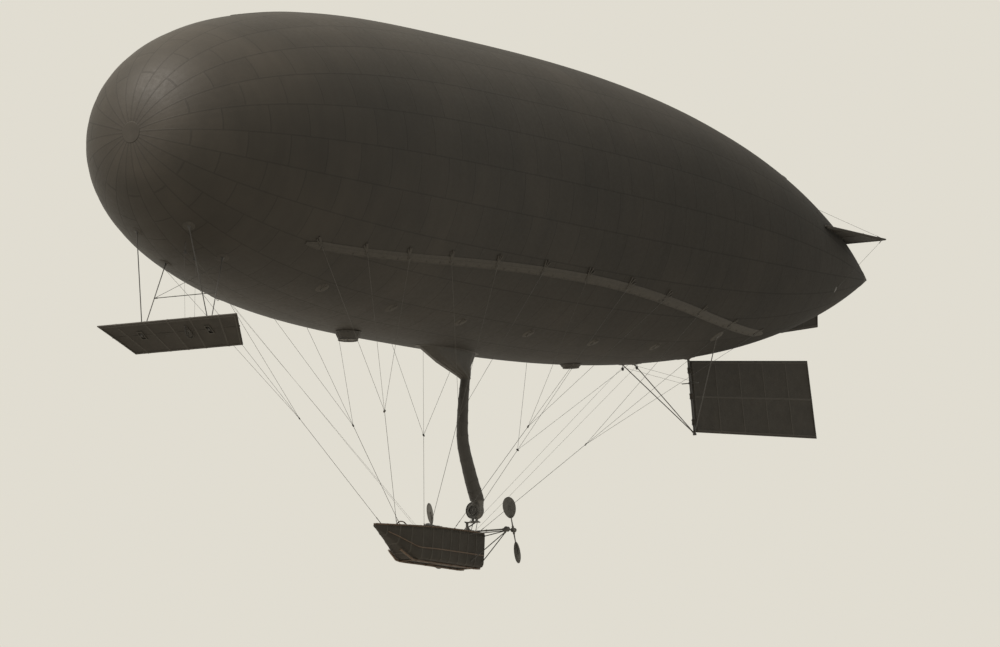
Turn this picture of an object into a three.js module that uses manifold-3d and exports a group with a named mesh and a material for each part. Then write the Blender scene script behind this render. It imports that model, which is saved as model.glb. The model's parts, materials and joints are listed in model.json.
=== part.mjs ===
// A small non-rigid airship: fabric envelope, tail planes, rudder, bow elevator and a slung boat-shaped car.
// Millimetres. +X is forward, +Y is port, +Z is up. The origin is on the envelope's axis at mid-length.

import * as THREE from 'three';
import { mergeVertices } from 'three/addons/utils/BufferGeometryUtils.js';
import Module from 'manifold-3d';

const wasm = await Module();
wasm.setup();

// Driving dimensions.
const skinGap = 1;
const hull = {
  length: 35400, radius: 4250, noseLength: 11560, nosePower: 2.48, tailPower: 2.89,
  skin: 10, segments: 36, noseRings: 9, tailRings: 12,
};
// How deep a fitting starts in the hull before it is cut clear.
const sink = { pad: 60, strut: 40, belt: 30 };
const inlet = { x: 3400, radius: 190, below: 100, above: 200 };
const band = {
  aft: -10000, fore: 13400, steps: 24, width: 260, thick: 24,
  midX: 2000, midAngle: 34, aftDrop: 26, foreDrop: 12,
};
const stay = { radius: 7, mainRadius: 9.1, sides: 5, eye: 18, plate: 52, split: 0.42 };
const trunk = {
  foreTop: 4950, aftTop: 2150, halfWidth: 330, rise: 120, neckX: 2540, neckZ: -4950, neckRadius: 140,
  knee: { ahead: 420, above: 260, halfX: 500, halfY: 210 }, sides: 16,
};
const hose = {
  radiusTop: 135, radiusFoot: 200, sides: 12, steps: 14, foot: [2330, 250, -8270],
  bends: [[2680, 20, -5750], [2720, 50, -6700], [2560, 160, -7550]],
};
const elevator = {
  x: 15700, z: -5040, pitch: 34, fore: 490, aft: 720, foreHalf: 2290, aftHalf: 1750, tube: 30, skin: 14,
  ribs: [-1700, -750, 0, 750, 1700], lugY: 1100, slotHalf: 60, slotReach: 130,
};
const rudder = {
  topFront: [-8400, -3310], bottomFront: [-8700, -5320],
  topRear: [-14510, -2690], bottomRear: [-15000, -4900],
  tube: 30, skin: 16, setback: 75, ribs: [0.2, 0.4, 0.6, 0.8], post: 36, headReach: 260, footReach: 90,
  sleeve: 62, sleeveHalf: 75, sleeveGap: 5, sleeves: [0.14, 0.5, 0.86],
};
const stabilizer = {
  z: 780, foreX: -12250, rearX: -15500, inner: 300, foreHalf: 2180, rearHalf: 2100, tube: 30, skin: 16,
  ribs: [0.33, 0.62],
};
const tailFin = {
  corners: [[-10700, -2500], [-15080, -1660], [-15080, -800], [-11500, -800]],
  ribs: [[-13200, -800, -13200, -2020], [-14300, -800, -14300, -1810]], tube: 26, skin: 16,
};
const hanger = { strut: 15, tie: 12, brace: 8, padHeight: 22 };
const car = {
  x: 2600, bottomZ: -10130, sternX: -310, wall: 28, bilge: 110, flare: 14, shaftZ: 430, rimTube: 24,
};
const drive = {
  shaftX: -150, height: 990, caseY: 1320, caseRadius: 72, caseHalf: 100, tubeRadius: 24,
  strut: 14, strutDrop: 40, propX: -460, propShaft: 30, towerTop: 1250,
};
const fan = { x0: -400, x1: -200, y: 150, z: 1580, radius: 235, eye: 130, outlet: [150, 385], foot: 61 };
const propeller = {
  radius: 930, armRadius: 22, bladeRoot: 400, bladeWidth: 420, bladeThick: 16, pitch: 28, hubRadius: 64,
  hubLength: 140, capLength: 40, capRadius: 20, lean: 12,
};

// Colours of the finishes.
const finish = {
  envelope: { color: 0x3d3a33, roughness: 0.62, metalness: 0 },
  canvas: { color: 0x34312b, roughness: 0.85, metalness: 0 },
  webbing: { color: 0x4b463c, roughness: 0.9, metalness: 0 },
  wood: { color: 0x5a4430, roughness: 0.6, metalness: 0 },
  steelTube: { color: 0x33332f, roughness: 0.5, metalness: 0.4 },
  wire: { color: 0x55534d, roughness: 0.45, metalness: 0.9 },
  castIron: { color: 0x45443f, roughness: 0.6, metalness: 0.7 },
  aluminium: { color: 0x9a9a94, roughness: 0.45, metalness: 0.9 },
  brass: { color: 0x9c7b3c, roughness: 0.4, metalness: 0.9 },
};

const airship = new THREE.Group();
const carGroup = new THREE.Group();
carGroup.position.set(car.x, 0, car.bottomZ);
airship.add(carGroup);

function add(name, shape, material, group = airship) {
  const geometry = shape.isBufferGeometry ? shape : geometryOf(shape);
  geometry.computeVertexNormals();
  const mesh = new THREE.Mesh(geometry, new THREE.MeshStandardMaterial(finish[material]));
  mesh.name = name;
  group.add(mesh);
  return mesh;
}

// Closed solids and their joining and cutting.
function outward(geometry) {
  const bare = geometry.index ? geometry.clone() : mergeVertices(geometry);
  bare.deleteAttribute('normal');
  bare.deleteAttribute('uv');
  const merged = mergeVertices(bare, 0.01);
  const p = merged.attributes.position;
  const index = merged.index.array;
  let volume = 0;
  const [a, b, c] = [new THREE.Vector3(), new THREE.Vector3(), new THREE.Vector3()];
  for (let i = 0; i < index.length; i += 3) {
    a.fromBufferAttribute(p, index[i]);
    b.fromBufferAttribute(p, index[i + 1]);
    c.fromBufferAttribute(p, index[i + 2]);
    volume += a.dot(b.cross(c));
  }
  if (volume < 0) {
    for (let i = 0; i < index.length; i += 3) [index[i], index[i + 1]] = [index[i + 1], index[i]];
  }
  return merged;
}

function solidOf(shape) {
  if (!shape.isBufferGeometry) return shape;
  const closed = outward(shape);
  const keep = [];
  const index = closed.index.array;
  for (let i = 0; i < index.length; i += 3) {
    const [a, b, c] = [index[i], index[i + 1], index[i + 2]];
    if (a !== b && b !== c && c !== a) keep.push(a, b, c);
  }
  return new wasm.Manifold(new wasm.Mesh({
    numProp: 3,
    vertProperties: new Float32Array(closed.attributes.position.array),
    triVerts: new Uint32Array(keep),
  }));
}

function geometryOf(solid) {
  const mesh = solid.getMesh();
  const geometry = new THREE.BufferGeometry();
  geometry.setAttribute('position', new THREE.BufferAttribute(new Float32Array(mesh.vertProperties), 3));
  geometry.setIndex(new THREE.BufferAttribute(new Uint32Array(mesh.triVerts), 1));
  return geometry;
}

const join = (...shapes) => shapes.flat(2).map(solidOf).reduce((sum, shape) => sum.add(shape));
const cut = (shape, ...tools) => tools.flat().map(solidOf)
  .reduce((rest, tool) => rest.subtract(tool), solidOf(shape));

// Small shapes, each made in place.
const at = (x, y, z) => new THREE.Vector3(x, y, z);

function rod(from, to, radius, sides = 8, radiusTo = radius) {
  const geometry = new THREE.CylinderGeometry(radiusTo, radius, from.distanceTo(to), sides);
  const turn = new THREE.Quaternion().setFromUnitVectors(at(0, 1, 0), to.clone().sub(from).normalize());
  geometry.applyQuaternion(turn);
  const middle = from.clone().add(to).multiplyScalar(0.5);
  return geometry.translate(middle.x, middle.y, middle.z);
}

function box(x0, x1, y0, y1, z0, z1) {
  const geometry = new THREE.BoxGeometry(x1 - x0, y1 - y0, z1 - z0);
  return geometry.translate((x0 + x1) / 2, (y0 + y1) / 2, (z0 + z1) / 2);
}

function ball(centre, radius, detail = 1) {
  const shape = detail > 0 ? new THREE.IcosahedronGeometry(radius, detail)
    : new THREE.OctahedronGeometry(radius);
  return shape.translate(centre.x, centre.y, centre.z);
}

function roundShape(radius, sides) {
  const shape = new THREE.Shape();
  for (let i = 0; i < sides; i += 1) {
    const angle = (2 * Math.PI * (i + 0.5)) / sides;
    const [x, y] = [radius * Math.cos(angle), radius * Math.sin(angle)];
    if (i === 0) shape.moveTo(x, y);
    else shape.lineTo(x, y);
  }
  shape.closePath();
  return shape;
}

function tubeAlong(points, radius, sides, steps) {
  return new THREE.ExtrudeGeometry(roundShape(radius, sides), {
    steps, bevelEnabled: false, extrudePath: new THREE.CatmullRomCurve3(points),
  });
}

// A body through rings of points, each ring with the same count, closed by a fan at each end.
function loft(rings) {
  const count = rings[0].length;
  const points = rings.flat();
  const index = [];
  for (let r = 0; r + 1 < rings.length; r += 1) {
    for (let i = 0; i < count; i += 1) {
      const [a, b] = [r * count + i, r * count + ((i + 1) % count)];
      index.push(a, b, b + count, a, b + count, a + count);
    }
  }
  for (const [ring, flip] of [[0, true], [rings.length - 1, false]]) {
    const centre = rings[ring].reduce((sum, p) => sum.add(p), at(0, 0, 0)).divideScalar(count);
    points.push(centre);
    for (let i = 0; i < count; i += 1) {
      const [a, b] = [ring * count + i, ring * count + ((i + 1) % count)];
      index.push(...(flip ? [points.length - 1, b, a] : [points.length - 1, a, b]));
    }
  }
  const geometry = new THREE.BufferGeometry().setFromPoints(points);
  geometry.setIndex(index);
  return geometry;
}

// The envelope's outline: a blunt superellipse nose, then one long power curve to a pointed tail.
function hullRadius(x) {
  const fromNose = hull.length / 2 - x;
  const { noseLength, nosePower, tailPower, radius, length } = hull;
  if (fromNose < noseLength) {
    return radius * (1 - ((noseLength - fromNose) / noseLength) ** nosePower) ** (1 / nosePower);
  }
  return radius * (1 - ((fromNose - noseLength) / (length - noseLength)) ** tailPower);
}

function hullSlope(x) {
  return (hullRadius(x + 1) - hullRadius(x - 1)) / 2;
}

function hullStations() {
  const stations = [];
  for (let i = 1; i < hull.tailRings; i += 1) {
    stations.push(-hull.length / 2 + (hull.length - hull.noseLength) * (i / hull.tailRings));
  }
  for (let i = hull.noseRings; i > 0; i -= 1) {
    const angle = (i * Math.PI) / 2 / hull.noseRings;
    stations.push(hull.length / 2 - hull.noseLength * (1 - Math.cos(angle)));
  }
  stations.push(hull.length / 2 - hull.noseLength * (1 - Math.cos(Math.PI / 4 / hull.noseRings)));
  return stations;
}

function hullSolid(offset) {
  const tailSlope = hullSlope(-hull.length / 2 + 2);
  const profile = [new THREE.Vector2(0, -hull.length / 2 - offset * Math.hypot(1, tailSlope) / tailSlope)];
  for (const x of hullStations()) {
    const slope = hullSlope(x);
    const size = Math.hypot(1, slope);
    profile.push(new THREE.Vector2(hullRadius(x) + offset / size, x - (offset * slope) / size));
  }
  profile.push(new THREE.Vector2(0, hull.length / 2 + offset));
  return solidOf(new THREE.LatheGeometry(profile, hull.segments).rotateZ(-Math.PI / 2));
}

const hullOuter = hullSolid(0);
const hullKeepOut = hullSolid(skinGap);
const clearOfHull = (shape) => cut(shape, hullKeepOut);

// A point at a height above the fabric: the angle is counted from port, positive upwards.
function onHull(x, degrees, height = 0) {
  const angle = THREE.MathUtils.degToRad(degrees);
  const r = hullRadius(x) + height;
  return at(x, r * Math.cos(angle), r * Math.sin(angle));
}

function hullNormal(x, degrees) {
  const angle = THREE.MathUtils.degToRad(degrees);
  return at(-hullSlope(x), Math.cos(angle), Math.sin(angle)).normalize();
}

function patch(x, degrees, radius, height, sides = 8) {
  const foot = onHull(x, degrees);
  const normal = hullNormal(x, degrees);
  const [inner, outer] = [-sink.pad, height].map((rise) => foot.clone().addScaledVector(normal, rise));
  return rod(inner, outer, radius, sides);
}

// Envelope: one fabric shell, open at the air inlet in its belly.
const inletEnds = [-inlet.below, inlet.above].map((rise) => at(inlet.x, 0, rise - hull.radius));
const inletHole = rod(...inletEnds, inlet.radius, 20);
add('envelope', cut(hullOuter, hullSolid(-hull.skin), inletHole), 'envelope');

// Rigging bands: a webbing belt along each side, lower towards both ends.
function bandAngle(x) {
  const drop = x < band.midX ? band.aftDrop : band.foreDrop;
  const reach = x < band.midX ? band.midX - band.aft : band.fore - band.midX;
  return band.midAngle + drop * ((x - band.midX) / reach) ** 2;
}

function bandSide(side) {
  const rings = [];
  for (let i = 0; i <= band.steps; i += 1) {
    const x = band.aft + ((band.fore - band.aft) * i) / band.steps;
    const half = THREE.MathUtils.radToDeg(band.width / 2 / hullRadius(x));
    const section = [[-half, -sink.belt], [half, -sink.belt], [half, band.thick], [-half, band.thick]];
    rings.push(section.map(([turn, height]) => {
      const point = onHull(x, -bandAngle(x) + turn, height);
      return at(point.x, side * point.y, point.z);
    }));
  }
  return clearOfHull(loft(rings));
}
add('rigging_band_port', bandSide(1), 'webbing');
add('rigging_band_starboard', bandSide(-1), 'webbing');

// Valves: the gas valve on the back, and two air valves under the belly.
// Columns: node, place along the hull, angle round it, radius, height, finish.
const valves = [
  ['gas_valve', 1500, 90, 420, 110, 'aluminium'],
  ['belly_valve_fore', 8000, -90, 360, 240, 'canvas'],
  ['belly_valve_aft', -2540, -90, 300, 120, 'canvas'],
];
const valveShape = { step: 0.45, neck: 0.72, sides: 20 };
for (const [name, x, degrees, radius, height, material] of valves) {
  const seat = patch(x, degrees, radius, height * valveShape.step, valveShape.sides);
  const neck = patch(x, degrees, radius * valveShape.neck, height, valveShape.sides);
  add(name, clearOfHull(join(seat, neck)), material);
}

// Air trunk and hose: the blower in the car keeps the envelope's air bag full through them.
function ellipseRing(centre, halfX, halfY, count) {
  return Array.from({ length: count }, (_, i) => {
    const angle = (2 * Math.PI * i) / count;
    return at(centre.x + halfX * Math.cos(angle), centre.y + halfY * Math.sin(angle), centre.z);
  });
}

function trunkBody() {
  const { foreTop, aftTop, halfWidth, rise, neckX, neckZ, neckRadius, knee, sides } = trunk;
  const mouth = at((foreTop + aftTop) / 2, 0, rise - hull.radius);
  return loft([
    ellipseRing(mouth, (foreTop - aftTop) / 2 + rise, halfWidth, sides),
    ellipseRing(at(neckX + knee.ahead, 0, neckZ + knee.above), knee.halfX, knee.halfY, sides),
    ellipseRing(at(neckX, 0, neckZ), neckRadius, neckRadius, sides),
  ]);
}
add('air_trunk', clearOfHull(trunkBody()), 'canvas');

const [hoseX, hoseY, hoseZ] = hose.foot;
const hoseRoute = new THREE.CatmullRomCurve3([
  at(trunk.neckX, 0, trunk.neckZ - skinGap), ...hose.bends.map((bend) => at(...bend)),
  at(hoseX, hoseY, hoseZ + skinGap),
]);

function hoseBody() {
  const rings = [];
  for (let i = 0; i <= hose.steps; i += 1) {
    const t = i / hose.steps;
    const radius = THREE.MathUtils.lerp(hose.radiusTop, hose.radiusFoot, t);
    const tangent = i === 0 || i === hose.steps ? at(0, 0, -1) : hoseRoute.getTangentAt(t);
    const across = at(0, 1, 0).cross(tangent).normalize();
    const other = tangent.clone().cross(across);
    const centre = hoseRoute.getPointAt(t);
    rings.push(Array.from({ length: hose.sides }, (_, k) => {
      const angle = (2 * Math.PI * k) / hose.sides;
      return centre.clone().addScaledVector(across, radius * Math.cos(angle))
        .addScaledVector(other, radius * Math.sin(angle));
    }));
  }
  return loft(rings);
}
add('air_hose', outward(hoseBody()), 'canvas');

// A canvas-covered plane: edge tubes and ribs in the XY plane with a thin cover between them.
function plane(corners, ribs, tube, skin) {
  const parts = [];
  const edge = corners.map(([x, y]) => at(x, y, 0));
  edge.forEach((from, i) => {
    parts.push(rod(from, edge[(i + 1) % edge.length], tube, 6));
    parts.push(ball(from, tube, 0));
  });
  for (const [x0, y0, x1, y1] of ribs) parts.push(rod(at(x0, y0, 0), at(x1, y1, 0), tube * 0.7, 4));
  const cover = new THREE.Shape(corners.map(([x, y]) => new THREE.Vector2(x, y)));
  const sheet = new THREE.ExtrudeGeometry(cover, { depth: skin, bevelEnabled: false });
  return join(sheet.translate(0, 0, -skin / 2), parts);
}

const between = (p, q, t) => [p[0] + (q[0] - p[0]) * t, p[1] + (q[1] - p[1]) * t];

// Tail planes: a level stabilizer on each side and a low fin.
function stabilizerSide(side) {
  const { z, foreX, rearX, inner, foreHalf, rearHalf, tube, skin } = stabilizer;
  const corners = [[foreX, inner], [foreX, foreHalf], [rearX, rearHalf], [rearX, inner]];
  const ribs = stabilizer.ribs.map((t) => [
    ...between(corners[0], corners[3], t), ...between(corners[1], corners[2], t),
  ]);
  const onSide = corners.map(([x, y]) => [x, side * y]);
  const ribsOnSide = ribs.map(([x0, y0, x1, y1]) => [x0, side * y0, x1, side * y1]);
  return clearOfHull(geometryOf(plane(onSide, ribsOnSide, tube, skin)).translate(0, 0, z));
}
add('stabilizer_port', stabilizerSide(1), 'canvas');
add('stabilizer_starboard', stabilizerSide(-1), 'canvas');

const finPlane = plane(tailFin.corners, tailFin.ribs, tailFin.tube, tailFin.skin);
add('tail_fin', clearOfHull(geometryOf(finPlane).rotateX(Math.PI / 2)), 'canvas');

// Rudder: hung behind a leaning post, with three sleeves that turn on it.
const postTop = at(rudder.topFront[0], 0, rudder.topFront[1]);
const postFoot = at(rudder.bottomFront[0], 0, rudder.bottomFront[1]);
const postLine = postFoot.clone().sub(postTop).normalize();
const alongPost = (distance) => postTop.clone().addScaledVector(postLine, distance);
const postLength = postTop.distanceTo(postFoot);

// The post's struts. Columns: place down the post, place along the hull, angle round it, radius of the pad
// on the hull, or 0 for none.
const postStruts = [
  [postLength + rudder.footReach / 2, -6900, -55, 230],
  [postLength + rudder.footReach / 2, -6900, -125, 230],
  [postLength + rudder.footReach / 2, -5600, -90, 230],
  [-40, -7300, -75, 0],
  [-40, -7300, -105, 0],
];
const postHead = { x: -8300, degrees: -90, pad: 260 };

function rudderHanger() {
  const parts = [rod(alongPost(-rudder.headReach), alongPost(postLength + rudder.footReach), rudder.post, 10)];
  parts.push(patch(postHead.x, postHead.degrees, postHead.pad, hanger.padHeight));
  for (const [down, x, degrees, pad] of postStruts) {
    parts.push(rod(alongPost(down), onHull(x, degrees, -sink.strut), hanger.strut, 6));
    if (pad > 0) parts.push(patch(x, degrees, pad, hanger.padHeight));
  }
  return clearOfHull(join(parts));
}
add('rudder_hanger', rudderHanger(), 'steelTube');

function rudderBody() {
  const { topFront, bottomFront, topRear, bottomRear, tube, skin, setback } = rudder;
  const front = [topFront, bottomFront].map(([x, z]) => [x - setback, z]);
  const corners = [front[0], topRear, bottomRear, front[1]];
  const ribs = rudder.ribs.map((t) => (
    [...between(front[0], topRear, t), ...between(front[1], bottomRear, t)]
  ));
  ribs.push([...between(front[0], front[1], 0.5), ...between(topRear, bottomRear, 0.5)]);
  const sheet = geometryOf(plane(corners, ribs, tube, skin)).rotateX(Math.PI / 2);
  const sleeves = rudder.sleeves.map((t) => {
    const [upper, lower] = [-1, 1].map((way) => alongPost(postLength * t + way * rudder.sleeveHalf));
    return rod(upper, lower, rudder.sleeve, 12);
  });
  const bore = rod(alongPost(-postLength), alongPost(2 * postLength), rudder.post + rudder.sleeveGap, 12);
  return cut(join(sheet, sleeves), bore);
}
add('rudder', rudderBody(), 'canvas');

// Bow elevator: a level plane under the nose that tilts on its cross spar, held nose-up.
const elevatorGroup = new THREE.Group();
elevatorGroup.position.set(elevator.x, 0, elevator.z);
elevatorGroup.rotation.y = THREE.MathUtils.degToRad(-elevator.pitch);
airship.add(elevatorGroup);

function elevatorBody() {
  const { fore, aft, foreHalf, aftHalf, tube, skin, lugY, slotHalf, slotReach } = elevator;
  const spar = THREE.MathUtils.lerp(foreHalf, aftHalf, fore / (fore + aft));
  const corners = [[fore, -foreHalf], [fore, foreHalf], [-aft, aftHalf], [-aft, -aftHalf]];
  const ribs = elevator.ribs.map((y) => [fore, y, -aft, y * 0.95]);
  const slots = [1, -1].map((side) => {
    const middle = side * lugY;
    return box(-slotReach, slotReach, middle - slotHalf, middle + slotHalf, -3 * tube, 3 * tube);
  });
  return join(cut(plane(corners, ribs, tube, skin), slots), rod(at(0, -spar, 0), at(0, spar, 0), tube, 10));
}
add('elevator', elevatorBody(), 'canvas', elevatorGroup);

// Each lug hangs on an aft and a fore strut.
// Columns: place along the hull, angle round it on the port side, pad radius.
const lugStruts = [
  [14900, -73, 190],
  [16300, -70, 170],
];
const lug = { half: 36, wall: 26, gap: 4, boreHalf: 60, lowTie: 0.5, highTie: 0.9 };

function elevatorHanger() {
  const { x, z, tube, lugY } = elevator;
  const parts = [];
  const ties = [];
  for (const side of [1, -1]) {
    const middle = at(x, side * lugY, z);
    for (const [footX, portDegrees, pad] of lugStruts) {
      const degrees = side > 0 ? portDegrees : -180 - portDegrees;
      const top = onHull(footX, degrees, -sink.strut);
      parts.push(rod(middle, top, hanger.strut, 6));
      parts.push(patch(footX, degrees, pad, hanger.padHeight));
      if (footX < x) ties.push(middle.clone().lerp(top, lug.lowTie), middle.clone().lerp(top, lug.highTie));
    }
    const [inner, outer] = [-1, 1].map((way) => middle.clone().setY(middle.y + way * lug.half));
    parts.push(rod(inner, outer, tube + lug.wall, 12));
  }
  const [portLow, , starboardLow, starboardHigh] = ties;
  parts.push(rod(portLow, starboardLow, hanger.tie, 6), rod(portLow, starboardHigh, hanger.brace, 6));
  const bores = [1, -1].map((side) => {
    const [inner, outer] = [-1, 1].map((way) => at(x, side * lugY + way * lug.boreHalf, z));
    return rod(inner, outer, tube + lug.gap, 12);
  });
  return clearOfHull(cut(join(parts), bores));
}
add('elevator_hanger', elevatorHanger(), 'steelTube');

// The car: a boat-shaped tub. Columns: station from the stern, half width at the rim, half width at the
// bottom, height of the bottom, height of the rim.
const tubStations = [
  [car.sternX, 480, 420, 0, 905],
  [800, 525, 450, 0, 900],
  [1900, 540, 460, 0, 880],
  [2710, 470, 380, 0, 850],
  [3450, 280, 200, 400, 825],
  [4170, 34, 24, 760, 805],
];
const tubLength = tubStations[tubStations.length - 1][0];

function tubAt(x) {
  const last = tubStations.length - 1;
  let i = 0;
  while (i < last - 1 && tubStations[i + 1][0] < x) i += 1;
  const [p, q] = [tubStations[i], tubStations[i + 1]];
  const t = (x - p[0]) / (q[0] - p[0]);
  const [, rimHalf, bottomHalf, bottom, rim] = p.map((value, k) => value + (q[k] - value) * t);
  return { rimHalf, bottomHalf, bottom, rim };
}

function tubRing(x, inset, rimLift = 0) {
  const { rimHalf, bottomHalf, bottom, rim } = tubAt(x);
  const [wide, narrow] = [rimHalf - inset, bottomHalf - inset];
  const [low, high] = [bottom + inset, rim + rimLift];
  const bilge = Math.min(car.bilge, narrow * 0.5, (high - low) * 0.4);
  const bulge = (wide + narrow) / 2 + car.flare * (narrow / tubStations[2][2]);
  const side = [
    [wide, high], [bulge, (low + high) / 2], [narrow + bilge * 0.15, low + bilge], [narrow - bilge, low],
  ];
  const right = side.map(([y, z]) => at(x, -y, z));
  const left = side.map(([y, z]) => at(x, y, z)).reverse();
  return [...right, ...left];
}

function tubOuter(extra) {
  const rings = tubStations.slice(0, -1).map(([x]) => tubRing(x, -extra, extra));
  rings[0].forEach((point) => point.setX(car.sternX - extra));
  const bow = tubRing(tubLength, -extra, extra).map((point) => point.setX(tubLength + extra));
  return loft([...rings, bow]);
}

const innerBow = { x: 4020, inset: 20, lift: 80 };
const innerRings = [car.sternX + car.wall, 800, 1900, 2710, 3450]
  .map((x) => tubRing(x, car.wall, innerBow.lift));
const tubInner = loft([...innerRings, tubRing(innerBow.x, innerBow.inset, innerBow.lift)]);
const tubKeepOut = solidOf(tubOuter(skinGap));
const clearOfTub = (shape) => cut(shape, tubKeepOut);
add('car_shell', cut(tubOuter(0), tubInner), 'canvas', carGroup);

// Rim rail, floor and landing skids.
const rimStations = [car.sternX + 22, 400, 800, 1430, 1900, 2710, 3450, tubLength - 20];
const crossStation = rimStations.indexOf(1430);

function rimPath(side) {
  return rimStations.map((x) => {
    const { rimHalf, rim } = tubAt(x);
    return at(x, side * Math.max(rimHalf - 16, 14), rim + car.rimTube + skinGap);
  });
}
const [rimPort, rimStarboard] = [rimPath(1), rimPath(-1)];
add('car_rim', join(
  tubeAlong(rimPort, car.rimTube, 6, 14),
  tubeAlong(rimStarboard, car.rimTube, 6, 14),
  rod(rimPort[0], rimStarboard[0], car.rimTube, 8),
  rod(rimPort[crossStation], rimStarboard[crossStation], car.rimTube * 0.8, 8),
), 'wood', carGroup);

const floor = { from: -250, to: 2680, low: 52, thick: 22, margin: 100, joists: [-210, 200, 900, 1600, 2300] };
const joist = { width: 60, inset: 25, low: 29 };
const floorTop = floor.low + floor.thick + skinGap;
const floorHalf = (x) => tubAt(x).bottomHalf - car.wall - floor.margin;
const portEdge = [floor.from, 800, 1900, floor.to].map((x) => new THREE.Vector2(x, floorHalf(x)));
const starboardEdge = portEdge.map((p) => new THREE.Vector2(p.x, -p.y)).reverse();
const floorBoard = new THREE.ExtrudeGeometry(new THREE.Shape([...portEdge, ...starboardEdge]), {
  depth: floor.thick, bevelEnabled: false,
});
add('car_floor', join(
  floorBoard.translate(0, 0, floor.low),
  floor.joists.map((x) => {
    const half = floorHalf(x) - joist.inset;
    return box(x, x + joist.width, -half, half, joist.low, floor.low + 1);
  }),
), 'wood', carGroup);

const skid = { y: 270, z: -27, radius: 26, crossRadius: 20, crossings: [-100, 1400, 2600] };
// Columns: station, share of the skid's distance from the middle, height.
const skidRoute = [
  [-360, 1, -14], [0, 1, skid.z], [1500, 1, skid.z], [2650, 1, skid.z], [3250, 0.72, 215],
];
add('car_skids', clearOfTub(join(
  [skid.y, -skid.y].map((y) => {
    const points = skidRoute.map(([x, share, z]) => at(x, y * share, z));
    return tubeAlong(points, skid.radius, 6, 10);
  }),
  skid.crossings.map((x) => rod(at(x, -skid.y, skid.z), at(x, skid.y, skid.z), skid.crossRadius, 6)),
)), 'wood', carGroup);

// Seats: a bench on two end frames, with a back board. Columns: node, place of the back, half width.
const seat = {
  top: 430, board: 34, depth: 330, backRise: 330, backAft: 24, backFore: 4, leg: 30, legInset: 30,
};
const benches = [
  ['seat_rear', 1440, 330],
  ['seat_front', 2180, 320],
];

function bench(x, half) {
  const { top, board, depth, leg, legInset } = seat;
  return join(
    box(x, x + depth, -half, half, top - board, top),
    box(x - seat.backAft, x + seat.backFore, -half, half, top - board, top + seat.backRise),
    [legInset - half, half - legInset - leg].map((y) => (
      box(x + 10, x + depth - 20, y, y + leg, floorTop, top - 20)
    )),
  );
}
for (const [name, x, half] of benches) add(name, bench(x, half), 'wood', carGroup);

// Controls: steering wheel on a column, elevator wheel on the port side, and an instrument board.
const helm = {
  x: 2900, z: 840, radius: 180, tube: 13, tilt: 0.35, columnX: 3010, columnTop: 815, columnFoot: 270,
  columnRadius: 26, footLow: 236, footHigh: 288, footRadius: 70,
};
const sideWheel = {
  x: 2620, y: 330, z: 760, radius: 140, tube: 12, plateY: 402, plateHalf: 60, plateThick: 14,
};
const board = {
  x: 3160, thick: 22, half: 235, low: 640, high: 860, legs: [-205, 185], legWidth: 20, legLow: 520,
  dials: [-140, 0, 140], dialZ: 760, dialRadius: 56, dialAft: 24,
};
const wheelHub = { half: 26, radius: 34 };

function handWheel(radius, tube) {
  const ring = new THREE.TorusGeometry(radius, tube, 5, 14);
  const tips = [at(radius, 0, 0), at(0, radius, 0)];
  const spokes = tips.map((tip) => rod(tip.clone().negate(), tip, tube * 0.6, 5));
  const hub = rod(at(0, 0, -wheelHub.half), at(0, 0, wheelHub.half), wheelHub.radius, 10);
  return geometryOf(join(ring, spokes, hub));
}

add('helm', join(
  handWheel(helm.radius, helm.tube).rotateY(Math.PI / 2 + helm.tilt).translate(helm.x, 0, helm.z),
  rod(at(helm.x - 10, 0, helm.z - 4), at(helm.columnX, 0, helm.z - 50), 20, 8),
  rod(at(helm.columnX, 0, helm.columnFoot), at(helm.columnX, 0, helm.columnTop), helm.columnRadius, 8),
  rod(at(helm.columnX, 0, helm.footLow), at(helm.columnX, 0, helm.footHigh), helm.footRadius, 10),
), 'wood', carGroup);

const { x: sideX, y: sideY, z: sideZ, plateY, plateHalf, plateThick } = sideWheel;
add('elevator_wheel', join(
  handWheel(sideWheel.radius, sideWheel.tube).rotateX(Math.PI / 2).translate(sideX, sideY, sideZ),
  rod(at(sideX, sideY - 10, sideZ), at(sideX, plateY + 6, sideZ), 18, 8),
  box(sideX - plateHalf, sideX + plateHalf, plateY, plateY + plateThick,
    sideZ - plateHalf, sideZ + plateHalf),
), 'wood', carGroup);

add('instrument_board', join(
  box(board.x, board.x + board.thick, -board.half, board.half, board.low, board.high),
  board.dials.map((y) => {
    const [front, back] = [board.x - board.dialAft, board.x + 6].map((x) => at(x, y, board.dialZ));
    return rod(front, back, board.dialRadius, 16);
  }),
  board.legs.map((y) => (
    box(board.x, board.x + board.thick, y, y + board.legWidth, board.legLow, board.low + 20)
  )),
), 'wood', carGroup);

// Engine: an open four-cylinder motor on two bearers, with its flywheel, radiator, tank and exhaust.
const engine = {
  rear: 260, front: 880, half: 115, sumpZ: 400, sumpRadius: 120, low: 345, deck: 520, feet: [300, 820],
  footHalf: 205, footWidth: 50, footThick: 34,
};
const cylinder = { x: [335, 490, 645, 800], radius: 68, top: 835, head: 45, headRadius: 76, portZ: 742 };
const plug = { y: 40, radius: 16, rise: 50 };
const carburettor = { x: [560, 700], y: [110, 190], z: [560, 680], pipeX: 630, pipeZ: 620, pipeRadius: 26 };
const bearer = {
  y: [-190, 140], width: 50, low: 262, high: 325, from: 120, to: 1000, posts: [180, 900], half: 200,
};

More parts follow.
